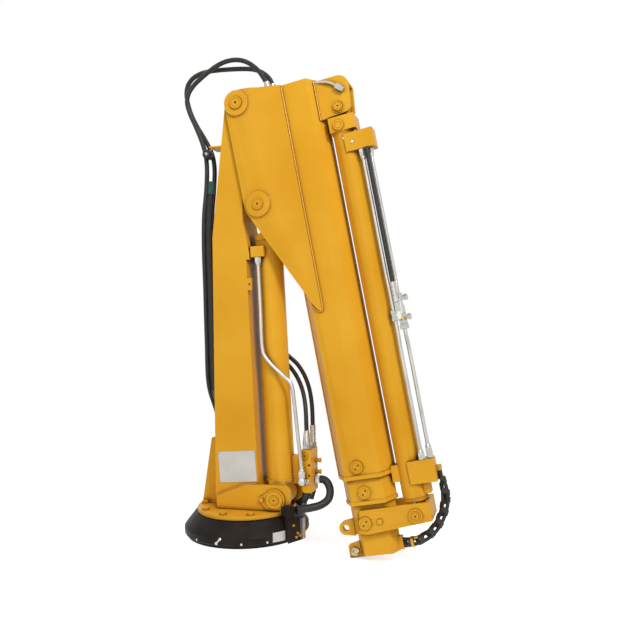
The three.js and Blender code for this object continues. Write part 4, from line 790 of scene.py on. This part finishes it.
# Check valve block: milled from bar and painted with the crane, with a sealing plug, two spools and
# plated hose fittings: a tapered one in front and a straight one behind it. Two rubber boots are
# pushed on below.
valve_left, valve_right, valve_low, valve_high = 199, 231, 141, 275
valve_half = 37.5
valve_chamfer = 8
valve_outline = [
    (valve_left, valve_low + valve_chamfer),
    (valve_left + valve_chamfer, valve_low),
    (valve_right, valve_low),
    (valve_right, valve_high),
    (valve_left, valve_high),
]
plug_profile = [(0, 10), (3.6, 10), (4.5, 9), (4.5, 7), (3.2, 6.2), (3.2, 3.6), (1.0, 3.0)]
spool_profile = [(0, 8), (7, 8), (8, 5.2), (12, 5.2), (12.6, 8), (17, 8), (18.5, 6.6)]
rightwards = Vector((1, 0, 0))
seat = 0.5
shell = bmesh.new()
plate(shell, valve_outline, -valve_half, valve_half, lambda x, z, y: at(x, y, z))
turned(shell, at(211, -valve_half + seat, 256), front, plug_profile, 28)
for height in (235, 199):
    turned(shell, at(valve_right - seat, 16, height), rightwards, spool_profile, 20)
piece("valve_block_enamelled", shell, enamel, "lift_barrel", 1.2, ["valve_block"])

front_port = (212, -15)
back_port = (221, 24)
feed_nut = [(0, 13), (2, 15), (10, 15), (12, 14), (16.4, 13.4)]
crimped = [(0, 9.8), (14, 9.8), (15, 9), (18, 9), (19, 9.8), (34, 9.8), (35, 9), (38, 9), (39, 9.8)]
shell = bmesh.new()
for foot, towards, profile, sides in (
    (at(*front_port, valve_high - seat), up, [(0, 14), (1.5, 15.4), (12, 15.4), (14, 13.6)], 6),
    (at(*front_port, valve_high + 13), up, [(0, 13), (5, 13), (44, 8.6), (45.4, 7.9)], 28),
    (at(*back_port, valve_high - seat), up, [(0, 11), (1.5, 12.4), (15, 12.4), (17, 10.8)], 6),
    (at(*back_port, valve_high + 15), up, crimped + [(55, 9.8), (56, 8)], 24),
    (at(valve_right - seat, 8, 176), rightwards, feed_nut, 6),
):
    turned(shell, foot, towards, profile, sides)
plated("valve_fittings", shell, "lift_barrel", 0.3)

thick_boot = [(0, 14), (3, 15), (12, 14.4), (36, 9), (38, 8)]
thin_boot = [(0, 9), (3, 10), (10, 9.6), (30, 7.6), (32, 6.6)]
shell = bmesh.new()
turned(shell, at(213, -16, valve_low + 1), (-0.35, -0.5, -1), thick_boot, 24)
turned(shell, at(221, 16, valve_low + 1), (-0.1, -0.5, -1), thin_boot, 24)
piece("valve_drain_boots", shell, sealing_rubber, "lift_barrel")
# The cross holes are dark discs of painted shade
hole_marks = [(at(225, -valve_half + 0.1, height), front) for height in (228, 196)]
heads("valve_cross_holes", hole_marks, "lift_barrel", 3.4, 0.5, sides=14, material=painted_hole_shade)


# Boom: sections folded from plate and welded along their ridges, each sliding in the next on wear
# pads, which are held by the round plugs in their sides.
dressed("outer_boom section_2 section_3 section_4", "enamelled", enamel, plate_edge)
boom_axis = Vector(joint("tip_slide")["axis"])
boom_across = Vector((-boom_axis.z, 0, boom_axis.x))


# Places on the boom: along it from the main pin, to the side, and away from the column
def on_boom(along, y, out):
    return main_pin + (boom_axis * along + boom_across * out) * MM + at(0, y, 0)


# The two ends of a bar across the boom, each with the way that it faces
def ends_across(along, out, reach):
    return [(on_boom(along, -reach, out), front), (on_boom(along, reach, out), back)]


boom_middle, boom_ridge, boom_seam_end = 173, 90, 1203
ridge_welds = [
    [on_boom(along, 0, boom_middle + out) for along in (start, boom_seam_end)]
    for start, out in ((-16, boom_ridge), (292, -boom_ridge))
]
welds("outer_boom_ridge_welds", ridge_welds, "boom", 3.0)


# Wear pad plugs: threaded steel caps, painted with the boom, with a turned ring and two holes for
# a pin spanner. They are screwed into the sections' sides.
def plug_faces(name, body, along, out, face):
    profile = [(-1, 18.6), (0.9, 18.6), (1.8, 17.6), (1.8, 14.6), (0.6, 13.8), (0.6, 11), (1.4, 10), (1.4, 2)]
    hole_depth = 1.2
    shell = bmesh.new()
    for centre, towards in ends_across(along, out, face):
        turned(shell, centre, towards, profile, 36)
    # The spanner holes are dark discs of painted shade
    marks = ends_across(along + 5, out - 4, face + hole_depth)
    marks += ends_across(along - 5, out + 5, face + hole_depth)
    piece(name, shell, enamel, body)
    heads(name + "_holes", marks, body, 2.7, 0.6, sides=12, material=painted_hole_shade)


plug_faces("outer_boom_plug_faces", "boom", 1178, 161, 68)
plug_faces("section_2_plug_faces", "section_2", 1258, 167, 59)


# Knee: two cheek plates welded outside the boom's rear end, which take the main pin and the lift
# pin in raised bosses, and the tie plate between them.
dressed("knee_plate_front knee_plate_back knee_tie_plate", "enamelled", enamel, plate_edge)
dressed("main_pin", "enamelled", enamel, 0.8)
boss_face, boss_foot, boss_radius = 83.3, 72.4, 40
main_boss, lift_boss = (0, 0), (328, 10)
pin_faces("main_pin_faces", ends_across(*main_boss, boss_face), "boom", 20)
pin_faces("lift_pin_faces", ends_across(*lift_boss, boss_face), "boom", 18)
knee_weld = [(-12, 149), (660, 149), (684, 149), (694.5, 145), (690, 131), (672, 117)]
knee_side = 63.5
knee_lines = [[on_boom(along, side * knee_side, out) for along, out in knee_weld] for side in (-1, 1)]
welds("knee_plate_welds", knee_lines, "boom", 4.4)
boss_feet = ends_across(*main_boss, boss_foot) + ends_across(*lift_boss, boss_foot)
boss_lines = [ring_path(centre, boom_axis, boom_across, boss_radius) for centre, towards in boss_feet]
welds("knee_boss_welds", boss_lines, "boom", 2.4)


# Extension cylinder on the boom's upper side: pinned in a bent bracket, held by a saddle, with its
# port blocks welded on; its rod is pinned to the bar at the front of the third section.
dressed(
    "extension_bracket extension_barrel extension_gland upper_port_block lower_port_block"
    " barrel_saddle extension_bar hook_lug tip_lug extension_pin rod_pin",
    "enamelled",
    enamel,
    plate_edge,
)
dressed("extension_piston", "ground", steel, 0.8)
dressed("extension_rod", "chromed", chrome, 0.8)
cylinder_out, cylinder_radius = 309, 39
bar_along, bar_face = 1349, 63.3
pin_faces("extension_pin_faces", ends_across(86, cylinder_out, 41.6), "boom", 15)
pin_faces("rod_pin_faces", ends_across(1345, cylinder_out, bar_face), "section_3", 15)
cap_profile = [(0, 15.8), (1.4, 15.8), (2.2, 14.8), (2.2, 12), (1, 11.2), (1, 9.4), (1.8, 8.6), (1.8, 2)]
shell = bmesh.new()
turned(shell, on_boom(145.5, -46.5, 300.5), front, cap_profile, 32)
piece("cylinder_cap_face", shell, enamel, "boom")
bracket_foot, bracket_side, port_foot = 247, 35.2, 348
cylinder_welds = [
    ring_path(on_boom(163.5, 0, cylinder_out), boom_across, back, cylinder_radius),
    [on_boom(-8, -bracket_side, bracket_foot), on_boom(114, -bracket_side, bracket_foot)],
    [on_boom(-8, bracket_side, bracket_foot), on_boom(114, bracket_side, bracket_foot)],
    [on_boom(175, -44, port_foot), on_boom(175, 16, port_foot)],
]
welds("extension_cylinder_welds", cylinder_welds, "boom", 2.8)
plug_faces("bar_plug_faces", "section_3", bar_along, 153, bar_face)
bleed_marks = [(on_boom(187, -38.6, 309), front), (on_boom(206, -43.8, 333), front)]
heads("bleed_screws", bleed_marks, "boom", 4.2, 3.0)
lock_marks = ends_across(bar_along, 199, 57.2)
heads("bar_lock_bolts", lock_marks, "section_3", 8.0, 4.5, (9.6, 1.6), 20, enamel)

feeder_route = [(-8, -30, 243), (-3, -36, 266), (5, -41, 290), (13, -41, 304), (25, -41, 317)]
feeder_line = smooth_line(feeder_route, 6, on_boom)
feeder_end = feeder_line[-1] - feeder_line[-4]
feeder_nut = [(0, 8), (1.6, 10), (20, 10), (22, 8.4), (29, 8.4), (30, 7)]
shell = bmesh.new()
swept(shell, feeder_line, 4.2, 14)
turned(shell, feeder_line[-1] - feeder_end.normalized() * 4 * MM, feeder_end, feeder_nut, 6)
plated("bracket_oil_pipe", shell, "boom", 0.3)


# Tip lug: cut plate, welded under the end of the last section and painted with it. Its pin is bare,
# with an oily bronze tint on its head.
oiled_steel = finish("oiled_pin_steel", 8, ("8d7140", "c9bd9e"), (0.25, 0.42), metallic=1.0)
dressed("tip_lug_pin", "turned", oiled_steel, 0.8)
lug_half, lug_foot = 11, 110
lug_lines = [[on_boom(along, side * lug_half, lug_foot) for along in (1414, 1452)] for side in (-1, 1)]
welds("lug_welds", lug_lines, "tip", 2.4)


# Steel pipes along the cylinder: drawn tube, zinc plated, in two lengths that are each bent once,
# with hexagon nuts at the port blocks.
low_pipe, high_pipe = (-34, 356), (-20, 379)
inlet, union = (-34, 357), (-26, 379)
pipe_bend = 36


def shifted_pipe(start, bend_start, end):
    bend_end = bend_start + pipe_bend
    middle = [(a + b) / 2 for a, b in zip((bend_start, *start[1:]), (bend_end, *end[1:]))]
    return [
        start,
        ((start[0] + bend_start) / 2, *start[1:]),
        (bend_start, *start[1:]),
        tuple(middle),
        (bend_end, *end[1:]),
        ((bend_end + end[0]) / 2, *end[1:]),
        end,
    ]


upper_end, lower_start = 232.8, 1187.7
pipe_runs = (
    ("steel_pipe_upper_left", (upper_end, *low_pipe), 634, (733.7, *inlet)),
    ("steel_pipe_upper_right", (upper_end, *high_pipe), 634, (685.7, *union)),
    ("steel_pipe_lower_left", (768.3, *inlet), 812, (lower_start, *low_pipe)),
    ("steel_pipe_lower_right", (796.3, *union), 812, (lower_start, *high_pipe)),
)
for name, start, bend_start, end in pipe_runs:
    shell = bmesh.new()
    swept(shell, smooth_line(shifted_pipe(start, bend_start, end), 8, on_boom), pipe_radius, 18)
    plated(name + "_drawn", shell, "boom", replaces=[name])
nut_gap = 0.2
shell = bmesh.new()
pipe_nut(shell, on_boom(upper_end - nut_gap, *low_pipe), boom_axis, 34)
pipe_nut(shell, on_boom(upper_end - nut_gap, *high_pipe), boom_axis, 26)
pipe_nut(shell, on_boom(lower_start + nut_gap, *low_pipe), -boom_axis, 30)
pipe_nut(shell, on_boom(lower_start + nut_gap, *high_pipe), -boom_axis, 42)
plated("pipe_nuts", shell, "boom", 0.3)


# Pipe union: a tee body of plated steel with its nuts, two elbows and a hose nipple, and one ring
# of brass between the nuts.
def on_boom_face(along, out, y):
    return on_boom(along, y, out)


shell = bmesh.new()
for place, profile, sides in (
    ((686, *union), [(0, 11), (1.5, 13.4), (14, 13.4), (16, 11.5)], 6),
    ((701, *union), [(0, 9.4), (22, 9.4)], 20),
    ((722, *union), [(0, 9.6), (1.5, 12.4), (26, 12.4), (28, 10)], 24),
    ((748, *union), [(0, 10), (1.5, 13.6), (11, 13.6), (13, 11.5)], 6),
    ((767, *union), [(0, 11.5), (1.5, 13.6), (12, 13.6), (14, 12)], 6),
    ((780, *union), [(0, 13), (1.5, 15.6), (14, 15.6), (16, 12)], 6),
    ((733.9, *inlet), [(0, 9), (1.5, 11), (12, 11), (13, 9.4), (21, 9.4), (22, 11), (32, 11), (34, 9)], 6),
    ((711.9, -42, 372), [(0, 7), (1, 8), (12, 8), (13, 9.6), (25, 9.6), (26, 8.4)], 6),
):
    turned(shell, on_boom(*place), boom_axis, profile, sides)
elbow = [(0, 7.6), (16, 7.6), (17, 10), (25, 10), (27, 8.2)]
for along in (701.4, 760.8):
    turned(shell, on_boom(along, *union), boom_across, elbow, 6)
block(shell, 737, inlet[1], 765, union[1], -38, -24, on_boom_face)
block(shell, 727, 366, 737, 380, -42, -26, on_boom_face)
plated("pipe_union_fittings", shell, "boom", 0.3, ["pipe_union"])
shell = bmesh.new()
turned(shell, on_boom(760, *union), boom_axis, [(0, 11), (1, 12.6), (6.5, 12.6), (7.5, 11)], 24)
piece("union_brass_ring", shell, brass, "boom")


# Hoses: wire-braided rubber with a wrapped cover, dull and a little dusty. They are cut to length
# and crimped into plated ferrules; each follows the route of its solid.
def hose_rubber():
    shades = ("1b1816", "302b27")
    material = finish("wrapped_hose_rubber", 30, shades, (0.42, 0.60), specular_ior_level=0.4)
    tree = material.node_tree
    # The wrap's ribs are 1.5 mm apart on the real cover, and drawn at 4 mm so that they show
    run = add(tree, "ShaderNodeUVMap", uv_map="run")
    ribs = {"Vector": run, "Scale": 1 / (4 * MM) / math.tau}
    rib = add(tree, "ShaderNodeTexWave", ribs, bands_direction="X").outputs[1]
    bump = add(tree, "ShaderNodeBump", {"Height": rib, "Distance": 0.12 * MM, "Strength": 0.6})
    tree.links.new(bump.outputs[0], tree.nodes["Principled BSDF"].inputs["Normal"])
    return material


hose_cover = hose_rubber()


# The crimped ferrule at the start of a line: three grooves pressed round it
def ferrule(name, line, wide, reach, body):
    profile = [(0.2, wide - 0.8), (1.2, wide)]
    for part in (0.3, 0.5, 0.7):
        groove = reach * part
        profile += [(groove, wide), (groove + 1, wide - 0.9), (groove + 3, wide - 0.9), (groove + 4, wide)]
    profile += [(reach - 1, wide), (reach, wide - 1.2)]
    shell = bmesh.new()
    turned(shell, line[0], (line[2] - line[0]).normalized(), profile, 24)
    return piece(name, shell, zinc, body)


# One hose with its ferrules. Given a bend, the hose is fixed where it lies and rides no body; the bodies and
# places in bend are not used
def hose(node, route, radius, body, position=at, bend=None, ferrules=()):
    line = smooth_line(route, 6.0, position)
    shell = bmesh.new()
    swept(shell, line, radius, 18)
    made = object_of(node + "_rubber", shell, hose_cover)
    smoothed(made, 50)
    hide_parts(node)
    if bend:
        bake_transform(made)
    else:
        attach(made, body)
    for number, (step, carrier, reach) in enumerate(ferrules):
        name = f"{node}_ferrule_{number}"
        ferrule(name, line[::step], radius + 2.4, reach, carrier)


outer_route = [
    (-108, 74, 115), (-108, 74, 150), (-110, 72, 250), (-118, 44, 370), (-127, 2, 470),
    (-129, -4, 620), (-131, -4, 800), (-133, -4, 930), (-130, -4, 1030), (-120, -4, 1120),
    (-117, -4, 1190), (-122, -4, 1236), (-135, -5, 1280), (-154, -6, 1327), (-172, -9, 1370),
    (-180, -12, 1406), (-173, -14, 1434), (-154, -14, 1459), (-127, -14, 1480),
    (-98, -14, 1499), (-66, -14, 1516), (-34, -14, 1525), (-2, -14, 1525.5), (26, -14, 1518),
    (52, -14, 1502), (74, -14, 1481), (89, -14, 1459), (100, -14, 1439), (105.9, -14, 1412.4),
]
inner_route = [
    (-108, 50, 115), (-108, 50, 150), (-102, 52, 250), (-101, 44, 370), (-106, 20, 470),
    (-108, 14, 620), (-110, 14, 800), (-112, 14, 930), (-110, 14, 1030), (-101, 14, 1120),
    (-98, 14, 1190), (-106, 14, 1236), (-130, 14, 1285), (-157, 14, 1330), (-180, 14, 1378),
    (-192, 14, 1422), (-194, 14, 1449), (-187, 14, 1474), (-171, 14, 1492), (-149, 14, 1503),
    (-122, 14, 1508.5), (-86, 14, 1510), (-45, 14, 1508.5), (-8, 14, 1506), (24, 14, 1502.5),
    (50, 14, 1497), (73, 14, 1486.5), (92, 14, 1472), (105, 14, 1455), (110.5, 14, 1437),
    (114.1, 14, 1413.4),
]
knee_bend = ("column", "boom", at(-175, 0, 1300), at(60, 0, 1470))
column_ends = ((1, "column", 34), (-1, "boom", 30))
hose("column_hose_outer", outer_route, 7.5, "column", at, knee_bend, column_ends)
hose("column_hose_inner", inner_route, 7.5, "column", at, knee_bend, column_ends)


# Sleeve, tape and strap: the two column hoses run in one sleeve of black nylon cloth, bound with
# green tape at its top and foot, and held off the column's head by a strap with a ring bolt. The
# cloth is dull; its weave is 2 mm wide on a real sleeve, and drawn at 9 mm so that it shows.
sleeve_cloth = finish("nylon_sleeve_cloth", 22, ("12100f", "252120"), (0.55, 0.72), (9, 0.5))
green_tape = finish("green_cloth_tape", 7, ("163f33", "24604c"), (0.45, 0.6))


def between_routes(one, other):
    return [tuple((a + b) / 2 for a, b in zip(p, q)) for p, q in zip(one, other)]


middle_line = smooth_line(between_routes(outer_route[2:12], inner_route[2:12]), 10)
pair_wide = Vector((22, -18, 0)).normalized()


def bound(name, low, high, radius, material):
    line = [place for place in middle_line if low * MM <= place.z <= high * MM]
    shell = bmesh.new()
    swept(shell, line, radius, 28, 2.1, pair_wide)
    piece(name, shell, material, "column", crease=60)


# The sleeve is drawn in at both ends
def sleeve_reach(share):
    open_radius, drawn_share = 11.2, 12
    drawn = [max(0.0, 1 - end * drawn_share) ** 2 for end in (share, 1 - share)]
    return open_radius * (1 - 0.28 * drawn[0] - 0.28 * drawn[1])


bound("hose_sleeve", 395, 1150, sleeve_reach, sleeve_cloth)
bound("hose_tape_top", 1098, 1146, 11.9, green_tape)
bound("hose_tape_foot", 428, 470, 11.9, green_tape)
strap_route = [(-62, -16, 1252), (-84, -18, 1246), (-104, -20, 1236), (-122, -17, 1232), (-136, -5, 1236)]
strap_x, strap_z = -108, 1228
shell = bmesh.new()
swept(shell, smooth_line(strap_route, 5), 1.3, 10)
plated("strap_wire", shell, "column")
shell = bmesh.new()
turned(shell, at(strap_x, 2, strap_z), front, [(0, 15), (26, 15), (28, 13.6), (28, 7), (25, 6)], 28)
piece("strap_ring", shell, sealing_rubber, "column")
heads("strap_bolt", [(at(strap_x, -23, strap_z), front)], "column", 4.6, 5.0, (5.6, 1.4), 12)


# Feed hose: a thick return hose of the same rubber, from the valve block round to the bracket at
# the right of the base.
feed_route = [
    (247.5, 8, 176), (259, 8, 175.6), (272, 5, 166), (281, 0, 144), (278, -10, 120),
    (258, -26, 104), (230, -44, 98), (208, -61, 97), (192, -76, 97),
]
feed_bend = ("column", "lift_barrel", at(208, -61, 97), at(250, 5, 170))
hose("feed_hose", feed_route, 12.5, "column", at, feed_bend)


# Valve hoses: two pressure hoses of the same rubber, from the valve block's fittings up to the
# ports behind the lift barrel, which carries them.
valve_front_route = [
    (212, -15, 333.6), (211.5, -15, 354), (209, -9, 388), (201, 6, 426), (187, 24, 462),
    (166, 42, 496), (140, 56, 526), (113, 62, 550), (96, 62, 571), (93.6, 62, 583),
    (93.2, 62, 592.8),
]
valve_back_route = [
    (221, 24, 345.6), (220.5, 25, 368), (218, 30, 402), (211, 39, 440), (199, 49, 476),
    (181, 58, 510), (158, 63, 540), (134, 64, 561), (119.5, 62, 576), (117.6, 62, 585),
    (117.2, 62, 593.6),
]
hose("valve_hose", valve_front_route, 7, "lift_barrel")
hose("valve_hose_back", valve_back_route, 7, "lift_barrel")


# Boom hose: a short, straight pressure hose from the upper port block to the union, beside the
# pipes. Its lower end is crimped into a ferrule.
boom_hose_y, boom_hose_out = -42, 372
boom_hose_route = [(along, boom_hose_y, boom_hose_out) for along in (232.8, 300, 420, 540, 660, 711.7)]
boom_ends = ((-1, "boom", 62),)
hose("boom_hose", boom_hose_route, 7, "boom", on_boom, None, boom_ends)


# Tip hoses: two small hoses that loop from the lower port block to the end of the last section,
# inside one spiral guard of black polyethylene strip, with a brass clamp near its end.
tip_front_route = [
    (1230.6, -8, 396.5), (1242, -8, 397.6), (1258, -6, 402), (1278, -3, 406), (1306, -2, 406),
    (1334, -2, 401), (1362, -2, 389), (1390, -2, 371), (1414, -2, 348), (1431, -2, 321),
    (1440, -2, 294), (1443, -2, 270), (1442, -2, 246.6),
]
tip_back_route = [
    (1230.6, 8, 396.5), (1242, 8, 396.5), (1258, 6, 396), (1278, 4, 393.5), (1304, 3, 391),
    (1330, 3, 385.5), (1355, 3, 375), (1380, 3, 359), (1401, 3, 339), (1415, 3, 315),
    (1424, 3, 291), (1427, 3, 269), (1425, 3, 246.6),
]
tip_bend = ("boom", "tip", on_boom(1240, 0, 395), on_boom(1400, 0, 340))
hose("tip_hose_front", tip_front_route, 5.5, "boom", on_boom, tip_bend)
hose("tip_hose_back", tip_back_route, 5.5, "boom", on_boom, tip_bend)


# A strip wound round a path: each point of the path steps aside by a turning distance, which
# grows from the start's width and depth to the full ones
def guard_tree():
    numbers = ("Pitch", "Half Width", "Half Depth", "Start Width", "Start Depth", "Start Length")
    numbers += ("Strip Width", "Strip Thickness")
    tree, given = new_group("strip_round_path", "Path", numbers, "Strip")
    steps_per_turn = 18
    step = add(tree, "ShaderNodeMath", {0: given["Pitch"], 1: steps_per_turn}, operation="DIVIDE")
    even = even_curve(tree, given["Path"], step)
    sideways = add(tree, "GeometryNodeSetCurveNormal", {"Curve": even}, mode="Z_UP")
    along = add(tree, "GeometryNodeSplineParameter").outputs["Length"]
    normal = add(tree, "GeometryNodeInputNormal")
    turns = add(tree, "ShaderNodeMath", {0: along, 1: given["Pitch"]}, operation="DIVIDE")
    angle = add(tree, "ShaderNodeMath", {0: turns, 1: math.tau}, operation="MULTIPLY")
    crossed = {0: add(tree, "GeometryNodeInputTangent"), 1: normal}
    in_plane = add(tree, "ShaderNodeVectorMath", crossed, operation="CROSS_PRODUCT")
    shifts = []
    for turn_of, first_half, half, direction in (
        ("COSINE", given["Start Width"], given["Half Width"], in_plane),
        ("SINE", given["Start Depth"], given["Half Depth"], normal),
    ):
        growth = {"Value": along, "From Max": given["Start Length"], "To Min": first_half, "To Max": half}
        reach = add(tree, "ShaderNodeMapRange", growth)
        wave = add(tree, "ShaderNodeMath", {0: angle}, operation=turn_of)
        size = add(tree, "ShaderNodeMath", {0: wave, 1: reach}, operation="MULTIPLY")
        scaled = {0: direction, "Scale": size}
        shifts.append(add(tree, "ShaderNodeVectorMath", scaled, operation="SCALE"))
    away = add(tree, "ShaderNodeVectorMath", dict(enumerate(shifts)), operation="ADD")
    kept = add(tree, "GeometryNodeCaptureAttribute", {"Geometry": sideways})
    kept.capture_items.new("VECTOR", "Away")
    tree.links.new(away.outputs[0], kept.inputs[1])
    helix = add(tree, "GeometryNodeSetPosition", {"Geometry": kept, "Offset": kept.outputs[1]})
    turned_normal = {"Curve": helix, "Normal": kept.outputs[1]}
    facing = add(tree, "GeometryNodeSetCurveNormal", turned_normal, mode="FREE")
    section = {"Width": given["Strip Thickness"], "Height": given["Strip Width"]}
    strip = add(tree, "GeometryNodeCurvePrimitiveQuadrilateral", section)
    wound = {"Curve": facing, "Profile Curve": strip, "Fill Caps": True}
    return finish_group(tree, add(tree, "GeometryNodeCurveToMesh", wound), given["Material"])


# Extruded polyethylene: black, with a waxy sheen
polyethylene = finish("black_polyethylene", 16, ("171412", "2a2521"), (0.34, 0.5), ior=1.51)
guard_line = smooth_line(between_routes(tip_front_route, tip_back_route), 4, on_boom)
guard_values = {
    "Pitch": 39.2 * MM,
    "Half Width": 14.6 * MM,
    "Half Depth": 8.8 * MM,
    "Start Width": 8.6 * MM,
    "Start Depth": 14.4 * MM,
    "Start Length": 64 * MM,
    "Strip Width": 14.2 * MM,
    "Strip Thickness": 1.8 * MM,
    "Material": polyethylene,
}
guard = grown("tip_spiral_guard", path_mesh("guard_path", [guard_line[3:]]), guard_tree(), guard_values)
smoothed(guard, 40)
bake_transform(guard)

clamp_line = guard_line[-9:-6]
clamp_screw = clamp_line[1] - boom_axis * 12 * MM + boom_across * 4 * MM
shell = bmesh.new()
swept(shell, clamp_line, 11.6, 28, 1.45, boom_axis)
turned(shell, clamp_screw, boom_across, [(0, 3), (1, 4.2), (14, 4.2), (15, 3.4)], 6)
piece("tip_hose_clamp", shell, brass, "tip", crease=40)


# Floor, backdrop and light: a plain white floor with a low block under the foot plate, a white
# surround and soft lamps. The camera, bright metal and glass see the backdrop white.
def sees_backdrop(tree):
    ray = add(tree, "ShaderNodeLightPath").outputs
    seen = ray["Is Camera Ray"]
    for kind in ("Is Glossy Ray", "Is Transmission Ray"):
        seen = add(tree, "ShaderNodeMath", {0: seen, 1: ray[kind]}, operation="MAXIMUM")
    return seen


matt_white = {"Color": (0.92, 0.92, 0.92, 1)}
bright_white = (1, 1, 1, 1)


# Near the crane the floor is matt and takes its shadow; further off it only shines
def pale_stage():
    near_reach, far_reach = 0.55, 1.5
    near_glow, far_light = 0.6, 0.6
    material, tree = empty_material("pale_stage")
    seen = sees_backdrop(tree)
    at_floor = add(tree, "ShaderNodeTexCoord").outputs["Object"]
    reach = add(tree, "ShaderNodeVectorMath", {0: at_floor}, operation="LENGTH").outputs["Value"]
    span = {"Value": reach, "From Min": near_reach, "From Max": far_reach}
    far = add(tree, "ShaderNodeMapRange", span)
    matt = add(tree, "ShaderNodeBsdfDiffuse", matt_white)
    lift = add(tree, "ShaderNodeMath", {0: seen, 1: near_glow}, operation="MULTIPLY")
    glow = add(tree, "ShaderNodeEmission", {"Color": bright_white, "Strength": lift})
    near = add(tree, "ShaderNodeAddShader", {0: matt, 1: glow})
    level_seen = add(tree, "ShaderNodeMapRange", {"Value": seen, "To Min": far_light, "To Max": 1.0})
    away = add(tree, "ShaderNodeEmission", {"Color": bright_white, "Strength": level_seen})
    mixed = add(tree, "ShaderNodeMixShader", {0: far, 1: near, 2: away})
    add(tree, "ShaderNodeOutputMaterial", {"Surface": mixed})
    return material


# The block under the foot plate shows as plain backdrop and lights the crane like the floor
def pale_block():
    material, tree = empty_material("pale_block")
    matt = add(tree, "ShaderNodeBsdfDiffuse", matt_white)
    glow = add(tree, "ShaderNodeEmission", {"Color": bright_white, "Strength": 1.0})
    mixed = add(tree, "ShaderNodeMixShader", {0: sees_backdrop(tree), 1: matt, 2: glow})
    add(tree, "ShaderNodeOutputMaterial", {"Surface": mixed})
    return material


floor_drop = 60
floor_reach = 12.0
plinth_radius, plinth_height = 183, 59
shell = bmesh.new()
bmesh.ops.create_grid(shell, x_segments=1, y_segments=1, size=floor_reach)
bmesh.ops.translate(shell, verts=shell.verts, vec=at(0, 0, -floor_drop))
floor = object_of("floor", shell, pale_stage())
shell = bmesh.new()
turned(shell, at(0, 0, -floor_drop), up, [(0, plinth_radius), (plinth_height, plinth_radius)], 96)
plinth = object_of("plinth", shell, pale_block())
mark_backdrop(floor, plinth)

world = bpy.data.worlds.new("surround")
bpy.context.scene.world = world
world.use_nodes = True
tree = world.node_tree
tree.nodes.clear()
ambient = add(tree, "ShaderNodeBackground", {"Color": bright_white, "Strength": 0.40})
white = add(tree, "ShaderNodeBackground", {"Color": bright_white, "Strength": 1.0})
mixed = add(tree, "ShaderNodeMixShader", {0: sees_backdrop(tree), 1: ambient, 2: white})
add(tree, "ShaderNodeOutputWorld", {"Surface": mixed})


def lamp(name, where, aim, size, power):
    data = bpy.data.lights.new(name, "AREA")
    data.shape = "SQUARE"
    data.size = size
    data.energy = power
    made = bpy.data.objects.new(name, data)
    bpy.context.scene.collection.objects.link(made)
    aimed = (Vector(aim) - Vector(where)).to_track_quat("-Z", "Y").to_matrix().to_4x4()
    made.matrix_world = Matrix.Translation(where) @ aimed


crane_middle = (0.2, 0, 0.8)
lamp("key_lamp", (2.5, -2.5, 3.4), crane_middle, 0.8, 92)
lamp("front_lamp", (0.6, -3.2, 1.4), crane_middle, 2.2, 17)
lamp("fill_lamp", (-2.8, -2.4, 1.8), crane_middle, 2.4, 10)
lamp("rim_lamp", (-2.0, 2.3, 3.0), crane_middle, 2.0, 26)

bpy.context.scene.view_settings.view_transform = "Standard"

low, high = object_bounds()
